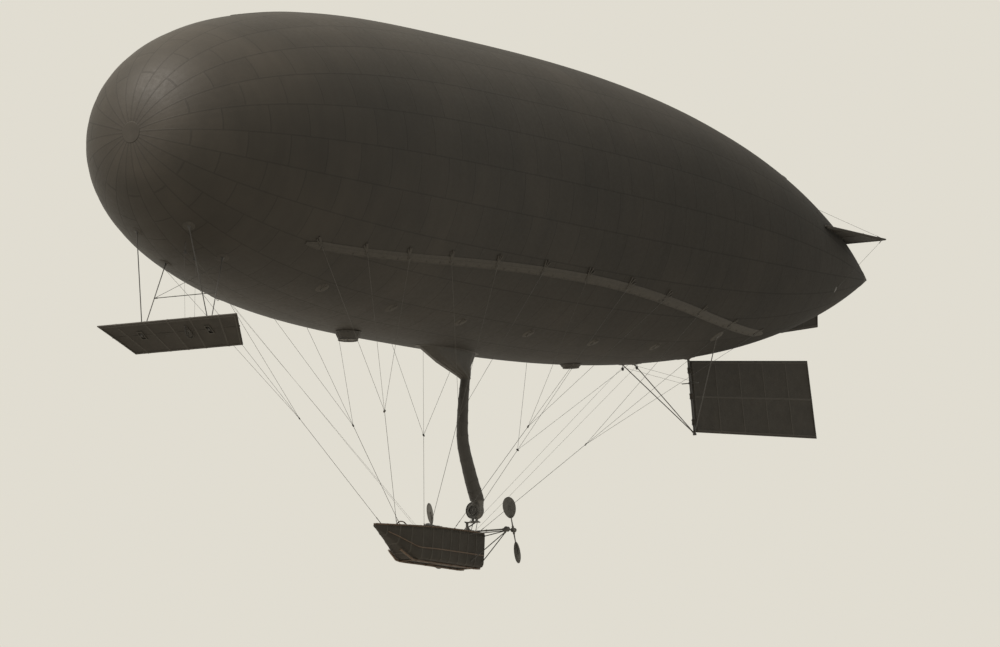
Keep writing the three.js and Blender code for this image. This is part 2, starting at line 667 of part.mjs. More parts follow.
add('engine', join(
  box(engine.rear, engine.front, -engine.half, engine.half, engine.low, engine.deck),
  rod(at(engine.rear - 5, 0, engine.sumpZ), at(engine.front + 5, 0, engine.sumpZ), engine.sumpRadius, 12),
  cylinder.x.map((x) => [
    rod(at(x, 0, engine.deck - 10), at(x, 0, cylinder.top - 35), cylinder.radius, 12),
    rod(at(x, 0, cylinder.top - cylinder.head), at(x, 0, cylinder.top), cylinder.headRadius, 12),
    rod(at(x, plug.y, cylinder.top - 5), at(x, plug.y, cylinder.top + plug.rise), plug.radius, 6),
  ]),
  rod(at(engine.front, 0, car.shaftZ), at(engine.front + 45, 0, car.shaftZ), 60, 10),
  engine.feet.map((x) => {
    const low = bearer.high + skinGap;
    return box(x, x + engine.footWidth, -engine.footHalf, engine.footHalf, low, low + engine.footThick);
  }),
  box(...carburettor.x, ...carburettor.y, ...carburettor.z),
  rod(at(carburettor.pipeX, 60, carburettor.pipeZ), at(carburettor.pipeX, 150, carburettor.pipeZ),
    carburettor.pipeRadius, 8),
), 'castIron', carGroup);

const { posts, half: bearerHalf, width: bearerWidth } = bearer;
add('engine_bearers', join(
  bearer.y.map((y) => box(bearer.from, bearer.to, y, y + bearerWidth, bearer.low, bearer.high)),
  posts.map((x) => box(x, x + bearerWidth, -bearerHalf, bearerHalf, bearer.low - 50, bearer.low + 2)),
  posts.flatMap((x) => bearer.y.map((y) => (
    box(x, x + bearerWidth, y, y + bearerWidth, floorTop, bearer.low - 48)
  ))),
), 'wood', carGroup);

const flywheel = { from: 178, to: 224, radius: 158, hubFrom: 160, hubTo: 252, hubRadius: 52 };
add('flywheel', join(
  rod(at(flywheel.from, 0, car.shaftZ), at(flywheel.to, 0, car.shaftZ), flywheel.radius, 24),
  rod(at(flywheel.hubFrom, 0, car.shaftZ), at(flywheel.hubTo, 0, car.shaftZ), flywheel.hubRadius, 12),
), 'castIron', carGroup);

const radiator = { x: 1035, thick: 50, half: 240, low: 130, high: 700, lip: 10, top: 750 };
const radiatorEnds = [[floorTop + 1, radiator.low + 10], [radiator.high - 10, radiator.top]];
add('radiator', join(
  box(radiator.x, radiator.x + radiator.thick, -radiator.half, radiator.half, radiator.low, radiator.high),
  radiatorEnds.map(([low, high]) => box(radiator.x - radiator.lip, radiator.x + radiator.thick + radiator.lip,
    -radiator.half - radiator.lip, radiator.half + radiator.lip, low, high)),
), 'brass', carGroup);

const tank = {
  x: 1240, z: 830, half: 300, radius: 118, capZ: 972, capRadius: 32, legs: [-230, 200], legHalf: 70,
  legWidth: 30,
};
add('fuel_tank', join(
  rod(at(tank.x, -tank.half, tank.z), at(tank.x, tank.half, tank.z), tank.radius, 20),
  rod(at(tank.x, 0, tank.z + 100), at(tank.x, 0, tank.capZ), tank.capRadius, 10),
  tank.legs.map((y) => (
    box(tank.x - tank.legHalf, tank.x + tank.legHalf, y, y + tank.legWidth, floorTop, tank.z - 40)
  )),
), 'brass', carGroup);

const silencer = { y: -660, z: 1090, from: 120, to: 900, radius: 78, tailFrom: -20, tailRadius: 26 };
const exhaustPipe = { radius: 30, stubRadius: 20, sides: 6, steps: 14 };
const exhaustPoints = [
  [300, -130, 750], [560, -140, 760], [860, -150, 770], [980, -230, 850], [1010, -380, 1090],
  [950, -560, 1140], [870, -650, 1100], [800, silencer.y, silencer.z],
].map((point) => at(...point));
add('exhaust', join(
  tubeAlong(exhaustPoints, exhaustPipe.radius, exhaustPipe.sides, exhaustPipe.steps),
  cylinder.x.map((x) => (
    rod(at(x, -80, cylinder.portZ), at(x, -140, cylinder.portZ + 14), exhaustPipe.stubRadius, 6)
  )),
  rod(at(silencer.from, silencer.y, silencer.z), at(silencer.to, silencer.y, silencer.z), silencer.radius, 14),
  rod(at(silencer.tailFrom, silencer.y, silencer.z), at(silencer.from + 20, silencer.y, silencer.z),
    silencer.tailRadius, 8),
), 'steelTube', carGroup);

// Transmission: a case behind the stern, an upright housing, two cross shafts and the blower's bracket.
const { shaftX, height: driveZ, caseY, caseRadius, towerTop } = drive;
const gearCase = { from: -60, to: -230, radius: 104, tower: 44, box: 108, sleeve: 28, coupling: 158 };
const bracket = { fore: -100, aft: -400, starboard: -60, port: 270, thick: 28, braceX: -330, braceZ: 1100 };
const caseFoot = { half: 215, width: 40, high: 105, legY: 170, legRadius: 20 };
add('transmission', join(
  rod(at(gearCase.coupling, 0, car.shaftZ), at(gearCase.from, 0, car.shaftZ), gearCase.sleeve, 10),
  rod(at(gearCase.from, 0, car.shaftZ), at(gearCase.to, 0, car.shaftZ), gearCase.radius, 14),
  ball(at(shaftX, 0, driveZ), gearCase.box, 1),
  rod(at(shaftX, 0, car.shaftZ), at(shaftX, 0, towerTop + 10), gearCase.tower, 10),
  [1, -1].map((side) => {
    const end = side * (caseY - caseRadius - skinGap);
    return rod(at(shaftX, 0, driveZ), at(shaftX, end, driveZ), drive.tubeRadius, 8);
  }),
  box(bracket.aft, bracket.fore, bracket.starboard, bracket.port, towerTop, towerTop + bracket.thick),
  rod(at(shaftX, 0, bracket.braceZ), at(bracket.braceX, fan.y, towerTop + 10), 18, 6),
  [1, -1].map((side) => (
    rod(at(shaftX, side * 50, car.shaftZ), at(shaftX, side * caseFoot.legY, 90), caseFoot.legRadius, 6)
  )),
  box(shaftX - caseFoot.width, shaftX + caseFoot.width, -caseFoot.half, caseFoot.half, floorTop, caseFoot.high),
), 'aluminium', carGroup);

// Outriggers: each gear case on four struts. Columns: place, distance from the middle and height of the foot.
const strutFeet = [
  [420, 440, 850],
  [-270, 400, 850],
  [300, 380, 120],
  [-250, 360, 130],
];

function outrigger(side) {
  const hub = at(shaftX, side * caseY, driveZ);
  const along = (x) => hub.clone().setX(x);
  const shaftEnd = drive.propX + propeller.hubLength / 2 - 5;
  return clearOfTub(join(
    rod(along(shaftX - drive.caseHalf), along(shaftX + drive.caseHalf), caseRadius, 14),
    rod(along(shaftEnd), along(shaftX - drive.caseHalf + 10), drive.propShaft, 10),
    strutFeet.map(([x, y, z]) => {
      const top = hub.clone().setZ(driveZ - drive.strutDrop);
      return rod(at(x, side * y, z), top, drive.strut, 6);
    }),
  ));
}
add('outrigger_port', outrigger(1), 'steelTube', carGroup);
add('outrigger_starboard', outrigger(-1), 'steelTube', carGroup);

// Blower: a fan casing on the bracket, its outlet upwards into the hose.
const fanBase = towerTop + bracket.thick + skinGap;
const outletTop = hoseZ - car.bottomZ - skinGap;
add('blower', join(
  rod(at(fan.x0, fan.y, fan.z), at(fan.x1, fan.y, fan.z), fan.radius, 22),
  box(fan.x0 + 5, fan.x1 - 5, fan.outlet[0], fan.outlet[1], fan.z, outletTop),
  rod(at(fan.x1 - 10, fan.y, fan.z), at(fan.x1 + 40, fan.y, fan.z), fan.eye, 16),
  box(fan.x0 + 20, fan.x1 - 20, fan.y - 100, fan.y + 100, fanBase, fan.z - fan.radius + 20),
), 'aluminium', carGroup);

// Propellers: two broad paddle blades on thin arms, nearly upright at rest.
function paddle(direction) {
  const { radius, bladeRoot, bladeWidth, bladeThick, pitch } = propeller;
  const shape = new THREE.Shape();
  const bulge = (bladeWidth / 2) * 1.1;
  const neck = 30;
  shape.moveTo(-neck, bladeRoot - 60);
  shape.bezierCurveTo(-bulge, bladeRoot + 40, -bulge, radius, 0, radius);
  shape.bezierCurveTo(bulge, radius, bulge, bladeRoot + 40, neck, bladeRoot - 60);
  shape.closePath();
  const sheet = new THREE.ExtrudeGeometry(shape, {
    depth: bladeThick, bevelEnabled: false, curveSegments: 7,
  });
  sheet.translate(0, 0, -bladeThick / 2).rotateX(Math.PI / 2);
  sheet.rotateZ(THREE.MathUtils.degToRad(90 + pitch * direction));
  const arm = rod(at(0, 0, 0), at(0, 0, radius * 0.78), propeller.armRadius, 8, propeller.armRadius * 0.5);
  return [sheet, arm];
}

function propellerBody(direction) {
  const { hubRadius, hubLength, capLength, capRadius } = propeller;
  const upper = paddle(direction);
  const lower = paddle(direction).map((shape) => shape.rotateX(Math.PI));
  const rear = -hubLength / 2;
  const cap = rod(at(rear - capLength, 0, 0), at(rear, 0, 0), capRadius, 12, hubRadius * 0.8);
  return join(upper, lower, cap, rod(at(rear, 0, 0), at(-rear - 10, 0, 0), hubRadius, 14));
}
for (const [name, side] of [['propeller_port', 1], ['propeller_starboard', -1]]) {
  const screw = add(name, propellerBody(side), 'aluminium', carGroup);
  screw.position.set(drive.propX, side * caseY, driveZ);
  screw.rotation.x = THREE.MathUtils.degToRad(propeller.lean);
}

// Main stays: four crow's feet on each side, from the car's rim up to the bands.
// Columns: place on the rim and how far inside its edge, then the three places along the band.
const stayTable = [
  [-288, 200, -9300, -7000, -4700],
  [1150, 16, -2400, -300, 1800],
  [2250, 16, 3900, 6000, 8000],
  [3500, 16, 9700, 11300, 12900],
];

function crowsFoot([rimX, inside, ...bandX], side) {
  const { rimHalf, rim } = tubAt(rimX);
  const rimTop = rim + 2 * car.rimTube + skinGap;
  const foot = at(rimX + car.x, side * (rimHalf - inside), rimTop + stay.eye + skinGap + car.bottomZ);
  const tops = bandX.map((x) => {
    const top = onHull(x, -bandAngle(x), band.thick + stay.eye + 3);
    return top.setY(side * top.y);
  });
  const fork = foot.clone().lerp(tops[1], stay.split);
  return join(
    ball(foot, stay.eye, 0),
    ball(fork, stay.plate, 0),
    rod(foot, fork, stay.mainRadius, stay.sides),
    tops.map((top) => [rod(fork, top, stay.radius, stay.sides), ball(top, stay.eye, 0)]),
  );
}
for (const [word, side] of [['port', 1], ['starboard', -1]]) {
  stayTable.forEach((row, i) => add(`stay_${word}_${i + 1}`, crowsFoot(row, side), 'wire'));
}

export default airship;
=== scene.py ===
import json
import math

import bmesh
import bpy
from mathutils import Matrix, Vector


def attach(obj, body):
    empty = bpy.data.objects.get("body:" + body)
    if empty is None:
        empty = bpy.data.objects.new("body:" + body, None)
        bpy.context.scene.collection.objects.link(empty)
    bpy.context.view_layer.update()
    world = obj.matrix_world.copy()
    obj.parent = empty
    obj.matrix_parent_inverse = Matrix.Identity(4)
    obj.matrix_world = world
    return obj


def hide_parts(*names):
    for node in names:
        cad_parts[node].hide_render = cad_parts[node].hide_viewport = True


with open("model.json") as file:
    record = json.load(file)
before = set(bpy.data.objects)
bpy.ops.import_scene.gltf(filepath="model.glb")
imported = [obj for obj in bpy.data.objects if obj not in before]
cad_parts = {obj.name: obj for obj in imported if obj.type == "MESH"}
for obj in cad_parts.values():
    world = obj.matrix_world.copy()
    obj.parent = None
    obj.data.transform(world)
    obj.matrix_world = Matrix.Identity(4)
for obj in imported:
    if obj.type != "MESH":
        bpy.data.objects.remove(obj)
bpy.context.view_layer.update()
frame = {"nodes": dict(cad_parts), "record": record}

fullTurn = 2 * math.pi
axisX, axisY, axisZ = Matrix.Identity(3)
bothSides = ((1, "port"), (-1, "starboard"))


# Shader maths: an output socket that takes part in expressions.
class Wire:
    def __init__(self, finish, socket):
        self.finish, self.socket = finish, socket

    def maths(self, operation, *others, flip=False):
        terms = (*others, self) if flip else (self, *others)
        return self.finish.node("Math", {"operation": operation}, dict(enumerate(terms)))

    def __add__(self, other): return self.maths("ADD", other)
    def __sub__(self, other): return self.maths("SUBTRACT", other)
    def __rsub__(self, other): return self.maths("SUBTRACT", other, flip=True)
    def __mul__(self, other): return self.maths("MULTIPLY", other)
    def __truediv__(self, other): return self.maths("DIVIDE", other)
    def __pow__(self, other): return self.maths("POWER", other)
    def __mod__(self, other): return self.maths("FLOORED_MODULO", other)
    def __abs__(self): return self.maths("ABSOLUTE")
    __radd__, __rmul__ = __add__, __mul__

    # 0 below low, 1 above high, smooth between
    def rise(self, low, high):
        return self.finish.node("MapRange", {"interpolation_type": "SMOOTHSTEP"},
                                {"Value": self, "From Min": low, "From Max": high})

    # spreads a noise of about 0.5 to the range low..high
    def spread(self, low, high, fromLow=0.3, fromHigh=0.7):
        return self.finish.node("MapRange", {}, {"Value": self, "From Min": fromLow, "From Max": fromHigh,
                                                 "To Min": low, "To Max": high})


# A material. Constants go straight on the shader; what varies is wired in with feed().
class Finish:
    def __init__(self, name, color, **constants):
        self.material = bpy.data.materials.new(name)
        self.material.use_nodes = True
        self.material.diffuse_color = (*color, 1)
        self.tree = self.material.node_tree
        self.shader = self.tree.nodes["Principled BSDF"]
        for word, value in {"Base_Color": (*color, 1), **constants}.items():
            self.shader.inputs[word.replace("_", " ")].default_value = value
        self.place = self.node("TexCoord", {}, {}, "Object")

    def node(self, kind, settings, sockets, out=0):
        made = self.tree.nodes.new("ShaderNode" + kind)
        for word, value in settings.items():
            setattr(made, word, value)
        for word, value in sockets.items():
            if isinstance(value, Wire):
                self.tree.links.new(value.socket, made.inputs[word])
            else:
                made.inputs[word].default_value = value
        return Wire(self, made.outputs[out])

    def feed(self, **wires):
        for word, wire in wires.items():
            self.tree.links.new(wire.socket, self.shader.inputs[word.replace("_", " ")])

    def axes(self):
        x = self.node("SeparateXYZ", {}, {0: self.place})
        return [Wire(self, socket) for socket in x.socket.node.outputs]

    def stretch(self, *factors):
        return self.node("VectorMath", {"operation": "MULTIPLY"}, {0: self.place, 1: factors})

    def noise(self, scale, detail, rough=0.55, at=None):
        return self.node("TexNoise", {}, {"Vector": at or self.place, "Scale": scale, "Detail": detail,
                                          "Roughness": rough})

    def speckle(self, *parts):
        cell = self.node("CombineXYZ", {}, dict(enumerate(parts)))
        return self.node("TexWhiteNoise", {"noise_dimensions": "3D"}, {"Vector": cell})

    def mix(self, factor, *pair):
        first, second = ((*c, 1) if isinstance(c, tuple) else c for c in pair)
        return self.node("Mix", {"data_type": "RGBA"}, {0: factor, 6: first, 7: second}, 2)

    def shade(self, color, amount):
        return self.node("VectorMath", {"operation": "SCALE"}, {0: color, 3: amount})

    def bump(self, height, distance, strength):
        return self.node("Bump", {}, {"Height": height, "Distance": distance, "Strength": strength})


# Mesh helpers.
def alignedTo(direction):
    return Vector(direction).to_track_quat("Z", "Y").to_matrix().to_4x4()


def rod(bm, start, end, radius, sides=8, endRadius=None):
    start, end = Vector(start), Vector(end)
    where = Matrix.Translation((start + end) / 2) @ alignedTo(end - start)
    bmesh.ops.create_cone(bm, cap_ends=True, segments=sides, radius1=radius, radius2=endRadius or radius,
                          depth=(end - start).length, matrix=where)


def block(bm, low, high, bevel=0.0):
    low, high = Vector(low), Vector(high)
    where = Matrix.Translation((low + high) / 2) @ Matrix.Diagonal((*(high - low), 1))
    verts = bmesh.ops.create_cube(bm, size=1, matrix=where)["verts"]
    if bevel:
        edges = list({edge for vert in verts for edge in vert.link_edges})
        bmesh.ops.bevel(bm, geom=edges, offset=bevel, segments=2, profile=0.5, affect="EDGES", material=-1)


def ball(bm, centre, radius, rings):
    bmesh.ops.create_uvsphere(bm, u_segments=rings * 2, v_segments=rings, radius=radius,
                              matrix=Matrix.Translation(centre))


# turns a profile of (along, out) points about an axis; its ends close on the axis unless it is a loop
def turned(bm, profile, origin, axis, steps=24):
    if profile[0] != profile[-1]:
        profile = [(along, 0) for along, out in profile[:1] if out] + profile
        profile += [(along, 0) for along, out in profile[-1:] if out]
    where = Matrix.Translation(origin) @ alignedTo(axis)
    verts = [bm.verts.new(where @ Vector((out, 0, along))) for along, out in profile]
    edges = [bm.edges.new(pair) for pair in zip(verts, verts[1:])]
    bmesh.ops.spin(bm, geom=verts + edges, cent=origin, axis=Vector(axis).normalized(), angle=fullTurn,
                   steps=steps, use_merge=True)


# a profile from its middle outwards, with its mirror image before it
def mirrored(half):
    return [(-along, out) for along, out in reversed(half) if along] + half


# rods in a ring round an axis, the first on the side called first; low and high are places along the axis
def bolts(bm, centre, axis, first, ring, count, low, high, radius=0.006, phase=0.0):
    for k in range(count):
        out = Matrix.Rotation(phase + fullTurn * k / count, 3, axis) @ first * ring
        rod(bm, Vector(centre) + out + axis * low, Vector(centre) + out + axis * high, radius, 6)


# a round tube along points, made by a curve and joined to the mesh
def tube(bm, points, radius, sides=8, smooth=True):
    curve = bpy.data.curves.new("route", "CURVE")
    curve.dimensions, curve.bevel_depth = "3D", radius
    curve.bevel_resolution = max(0, sides // 4 - 1)
    curve.resolution_u, curve.use_fill_caps = 5, True
    spline = curve.splines.new("BEZIER" if smooth else "POLY")
    knots = spline.bezier_points if smooth else spline.points
    knots.add(len(points) - 1)
    for knot, point in zip(knots, points):
        knot.co = point if smooth else (*point, 1)
        if smooth:
            knot.handle_left_type = knot.handle_right_type = "AUTO"
    holder = bpy.data.objects.new("route", curve)
    mesh = bpy.data.meshes.new_from_object(holder)
    bm.from_mesh(mesh)
    bpy.data.objects.remove(holder)
    bpy.data.meshes.remove(mesh)
    bpy.data.curves.remove(curve)


# a grid bent by place(u, v), both from 0 to 1
def skin(bm, place, columns, rows):
    for vert in bmesh.ops.create_grid(bm, x_segments=columns, y_segments=rows, size=0.5)["verts"]:
        vert.co = place(vert.co.x + 0.5, vert.co.y + 0.5)


# extrudes a closed outline through rings that all have the same number of points
def loft(bm, rings, caps=True):
    face = start = bm.faces.new([bm.verts.new(point) for point in rings[0]])
    for ring in rings[1:]:
        made = bmesh.ops.extrude_face_region(bm, geom=[face])["geom"]
        if face is not start or not caps:
            bm.faces.remove(face)
        face = next(item for item in made if isinstance(item, bmesh.types.BMFace))
        for vert, point in zip(face.verts, ring):
            vert.co = point
    if not caps:
        bm.faces.remove(face)


def hoop(bm, centre, axis, radius, thick, steps=24, sides=8):
    centre, axis = Vector(centre), Vector(axis).normalized()
    out = axis.orthogonal().normalized()
    where = Matrix.Translation(centre + out * radius) @ alignedTo(out.cross(axis))
    verts = bmesh.ops.create_circle(bm, segments=sides, radius=thick, matrix=where)["verts"]
    edges = list({edge for vert in verts for edge in vert.link_edges})
    bmesh.ops.spin(bm, geom=verts + edges, cent=centre, axis=axis, angle=fullTurn, steps=steps,
                   use_merge=True)


# a tape's section: flat on top with sloping edges, its foot sunk in what carries it
def tapeSection(foot, edge, top, flat):
    return [(-1, foot), (-1, edge), (-flat, top), (flat, top), (1, edge), (1, foot)]


# a rail of eight-sided section through points
def rail(bm, points, wide, high, bevel=0.35):
    a, b, c, rings = wide / 2, high / 2, bevel * min(wide, high) / 2, []
    for i, point in enumerate(points):
        way = (points[min(i + 1, len(points) - 1)] - points[max(i - 1, 0)]).normalized()
        across = way.cross(axisZ).normalized()
        over = across.cross(way).normalized()
        rings.append([point + across * s + over * t for s, t in
                      ((a - c, -b), (a, c - b), (a, b - c), (a - c, b),
                       (c - a, b), (-a, b - c), (-a, c - b), (c - a, -b))])
    loft(bm, rings)


# a smooth way through points; t runs from 0 to 1
def through(points, t):
    spot = min(t, 0.99999) * (len(points) - 1)
    i, part = int(spot), spot - int(spot)
    p1, p2 = Vector(points[i]), Vector(points[i + 1])
    p0 = Vector(points[i - 1]) if i else p1 * 2 - p2
    p3 = Vector(points[i + 2]) if i + 2 < len(points) else p2 * 2 - p1
    return 0.5 * (2 * p1 + (p2 - p0) * part + (2 * p0 - 5 * p1 + 4 * p2 - p3) * part ** 2
                  + (3 * p1 - p0 - 3 * p2 + p3) * part ** 3)


# turns every separate shell of a mesh so that its faces point away from its middle
def faceOutwards(bm):
    bmesh.ops.recalc_face_normals(bm, faces=bm.faces)
    left = set(bm.faces)
    while left:
        shell, edge = set(), [left.pop()]
        while edge:
            face = edge.pop()
            shell.add(face)
            near = {other for side in face.edges for other in side.link_faces} & left
            left -= near
            edge += near
        middle = sum((face.calc_center_median() for face in shell), Vector()) / len(shell)
        if sum((face.calc_center_median() - middle).dot(face.normal) * face.calc_area()
               for face in shell) < 0:
            bmesh.ops.reverse_faces(bm, faces=list(shell))


def piece(name, bm, finish, body="airship", stands=None, smooth=40):
    bmesh.ops.remove_doubles(bm, verts=bm.verts, dist=1e-5)
    faceOutwards(bm)
    mesh = bpy.data.meshes.new(name)
    bm.to_mesh(mesh)
    bm.free()
    mesh.materials.append(finishes[finish].material)
    mesh.shade_smooth()
    mesh.set_sharp_from_angle(angle=math.radians(smooth))
    made = bpy.data.objects.new(name, mesh)
    bpy.context.scene.collection.objects.link(made)
    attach(made, body)
    if stands:
        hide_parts(stands)
    return made


# a piece whose finish is a slot of the record
def dress(name, bm, slot, **how):
    piece(name, bm, slot, **how)


# The envelope's outline, as in the frame.
hull = {"length": 35.4, "radius": 4.25, "noseLength": 11.56, "nosePower": 2.48, "tailPower": 2.89,
        "gores": 24, "perGore": 8, "noseRings": 44, "tailRings": 120, "bulge": 0.011, "strip": 1.15}


def hullRadius(x):
    fromNose = hull["length"] / 2 - x
    if fromNose < hull["noseLength"]:
        along = (hull["noseLength"] - fromNose) / hull["noseLength"]
        return hull["radius"] * max(0.0, 1 - along ** hull["nosePower"]) ** (1 / hull["nosePower"])
    along = (fromNose - hull["noseLength"]) / (hull["length"] - hull["noseLength"])
    return hull["radius"] * (1 - min(1.0, along) ** hull["tailPower"])


def hullNormal(x, degrees):
    slope = (hullRadius(x + 0.001) - hullRadius(x - 0.001)) / 0.002
    turn = math.radians(degrees)
    return Vector((-slope, math.cos(turn), math.sin(turn))).normalized()


# a point at a height above the fabric; the angle is counted from port, positive upwards
def onHull(x, degrees, height=0.0):
    turn, r = math.radians(degrees), hullRadius(x) + height
    return Vector((x, r * math.cos(turn), r * math.sin(turn)))


def angleOf(point):
    return math.degrees(math.atan2(point.z, point.y))


def normalAt(point):
    return hullNormal(point.x, angleOf(point))


# the same place on the hull's fabric, at another height
def pressed(point, height=0.0):
    return onHull(point.x, angleOf(point), height)


print("finishes")


def envelopeFabric():
    f = Finish("envelope_fabric", (0.021, 0.0180, 0.0145), Roughness=0.55, Specular_IOR_Level=0.25)
    x, y, z = f.axes()
    girth = (y * y + z * z) ** 0.5
    turns = y.maths("ARCTAN2", z) / fullTurn * hull["gores"]
    gore = turns.maths("FLOOR")
    across = 0.5 - abs(turns.maths("FRACT") - 0.5)             # 0 on a gore seam
    fromSeam = across * girth * (fullTurn / hull["gores"])     # metres
    strips = x / hull["strip"] + (gore % 2.0) * 0.5
    fromStrip = (0.5 - abs(strips.maths("FRACT") - 0.5)) * hull["strip"]
    tape = 1 - fromSeam.rise(0.014, 0.024) * fromStrip.rise(0.012, 0.020)
    panel = f.speckle(gore, strips.maths("FLOOR"), 0.0)
    cloud = f.noise(0.42, 5.0, 0.6)
    streak = f.noise(1.0, 4.0, 0.6, at=f.stretch(2.6, 0.35, 0.35))
    dust = f.noise(9.0, 4.0, 0.65)
    tone = panel.spread(0.94, 1.06, 0.0, 1.0) * cloud.spread(0.88, 1.12) * streak.spread(0.92, 1.08)
    # painted shade: 0 at the tail, 1 near the nose; it darkens the colour towards the tail and also makes the
    # tail rougher
    tailShadeRamp = x.rise(-14.0, 15.0)
    paintedNoseLight = x.rise(12.5, 17.2)                              # painted light: the colour is made lighter over the nose
    warm = f.mix(cloud.spread(0.0, 1.0), (0.0200, 0.0176, 0.0142), (0.0225, 0.0192, 0.0152))
    # painted light: the upper hull is made lighter than its sides and belly
    paintedTopLight = f.mix(z.rise(0.5, 4.2) * 0.35, warm, (0.034, 0.0298, 0.0240))
    seamed = f.mix(tape * 0.5, paintedTopLight, (0.0120, 0.0105, 0.0085))
    pucker = f.noise(5.0, 3.0) * (1 - fromSeam.rise(0.0, 0.35))
    height = tape * 0.35 + pucker * 1.6 + f.noise(60.0, 2.0) * 0.06
    # the colour below carries painted shade towards the tail and painted light over the nose and on the top
    f.feed(Base_Color=f.shade(seamed, tone * (tailShadeRamp * 0.3 + paintedNoseLight * 0.3 + 0.72) * dust.spread(0.95, 1.06)),
           Roughness=dust.spread(0.53, 0.63) + tape * 0.05 + (1 - tailShadeRamp) * 0.28,
           Normal=f.bump(height, 0.006, 0.7))
    return f


def plainFinish(name, dark, light, scale, rough, **constants):
    f = Finish(name, dark, Roughness=rough[0], **constants)
    mottled, fine = f.noise(scale, 4.0, 0.6), f.noise(scale * 9, 3.0, 0.6)
    f.feed(Base_Color=f.mix(mottled.spread(0.0, 1.0) * 0.7 + fine.spread(0.0, 0.3), dark, light),
           Roughness=fine.spread(*rough), Normal=f.bump(fine * 0.3 + mottled * 0.5, 0.002, 0.5))
    return f


# darkest and lightest tone, marks per metre, smoothest and roughest, and what else the shader needs
looks = {
    "dark_canvas": ((0.0205, 0.0180, 0.0145), (0.0335, 0.0293, 0.0237), 3.0, (0.62, 0.82),
                    {"Specular_IOR_Level": 0.25}),
    "canvas_air": ((0.022, 0.0195, 0.0155), (0.036, 0.0315, 0.0250), 4.0, (0.5, 0.7), {}),
    "webbing": ((0.0255, 0.0224, 0.0177), (0.0400, 0.0350, 0.0278), 8.0, (0.7, 0.9), {}),
    "varnished_wood": ((0.040, 0.023, 0.0115), (0.082, 0.047, 0.0235), 6.0, (0.35, 0.55), {}),
    "black_tube": ((0.022, 0.021, 0.019), (0.040, 0.037, 0.033), 10.0, (0.35, 0.6), {}),
    "steel_wire": ((0.050, 0.048, 0.044), (0.095, 0.092, 0.085), 30.0, (0.4, 0.55), {"Metallic": 0.6}),
    "engine_iron": ((0.045, 0.043, 0.040), (0.085, 0.080, 0.074), 14.0, (0.4, 0.65), {"Metallic": 0.6}),
    "dull_aluminium": ((0.060, 0.057, 0.052), (0.115, 0.110, 0.100), 7.0, (0.42, 0.6), {"Metallic": 0.5}),
    "dial_card": ((0.42, 0.39, 0.31), (0.55, 0.51, 0.42), 12.0, (0.5, 0.6), {}),
    "brass": ((0.135, 0.098, 0.050), (0.225, 0.165, 0.088), 9.0, (0.4, 0.58), {"Metallic": 0.8}),
}
finishes = {name: plainFinish(name, *look, **constants) for name, (*look, constants) in looks.items()}
finishes["envelope_fabric"] = envelopeFabric()
slotOf = {row["node"]: row["material_slot"] for row in frame["record"]["subparts"]}
for name, node in frame["nodes"].items():
    node.data.materials.clear()
    node.data.materials.append(finishes[slotOf[name]].material)

print("envelope")


def buildEnvelope():
    nose, length, gores = hull["noseLength"], hull["length"], hull["gores"]
    rings, tailRings = hull["noseRings"], hull["tailRings"]
    stations = [length / 2 - nose * (1 - math.cos(math.pi / 2 * i / rings)) for i in range(rings + 1)]
    stations += [length / 2 - nose - (length - nose) * i / tailRings for i in range(1, tailRings + 1)]
    bm = bmesh.new()
    turned(bm, [(x, hullRadius(x)) for x in stations], (0, 0, 0), axisX, gores * hull["perGore"])
    bmesh.ops.remove_doubles(bm, verts=bm.verts, dist=1e-4)
    for vert in bm.verts:
        radius = math.hypot(vert.co.y, vert.co.z)
        across = (math.atan2(vert.co.y, vert.co.z) / fullTurn * gores) % 1.0
        lift = hull["bulge"] * (4 * across * (1 - across) - 0.6) * min(1.0, radius / hull["radius"])
        if radius > 0.01:
            vert.co.yz = vert.co.yz * (1 + lift / radius)
    dress("envelope_skin", bm, "envelope_fabric", stands="envelope", smooth=60)


buildEnvelope()

print("rigging bands")

car = {"x": 2.6, "bottomZ": -10.13, "wall": 0.028, "rimTube": 0.024, "gap": 0.001,
       # station from the stern, half width at the rim, half width at the bottom, height of bottom and rim
       "stations": [(-0.31, 0.48, 0.42, 0.0, 0.905), (0.8, 0.525, 0.45, 0.0, 0.9),
                    (1.9, 0.54, 0.46, 0.0, 0.88), (2.71, 0.47, 0.38, 0.0, 0.85),
                    (3.45, 0.28, 0.2, 0.4, 0.825), (4.17, 0.034, 0.024, 0.76, 0.805)],
       "frames": 11, "sag": 0.005}
carOrigin = Vector((car["x"], 0, car["bottomZ"]))
band = {"aft": -10.0, "fore": 13.4, "midX": 2.0, "midAngle": 34.0, "aftDrop": 26.0, "foreDrop": 12.0,
        "half": 0.13, "tongue": 0.45, "thick": 0.024, "steps": 150, "toggleEvery": 0.55}
stay = {"wire": 0.0045, "eye": 0.018, "split": 0.42, "buckle": 0.26, "plate": 0.045,
        # place on the rim and how far inside its edge, then the three places along the band
        "rows": [(-0.288, 0.2, -9.3, -7.0, -4.7), (1.15, 0.016, -2.4, -0.3, 1.8),
                 (2.25, 0.016, 3.9, 6.0, 8.0), (3.5, 0.016, 9.7, 11.3, 12.9)]}


def bandAngle(x):
    end, drop = (band["aft"], band["aftDrop"]) if x < band["midX"] else (band["fore"], band["foreDrop"])
    return band["midAngle"] + drop * ((x - band["midX"]) / (end - band["midX"])) ** 2


# the band narrows to a tongue at both ends
def bandTaper(x):
    return 0.3 + 0.7 * min(1.0, min(x - band["aft"], band["fore"] - x) / band["tongue"])


# a point on the band: across it in metres, upwards, and above the fabric
def onBand(side, x, across=0.0, height=0.0):
    point = onHull(x, math.degrees(across / hullRadius(x)) - bandAngle(x), height)
    return Vector((point.x, side * point.y, point.z))


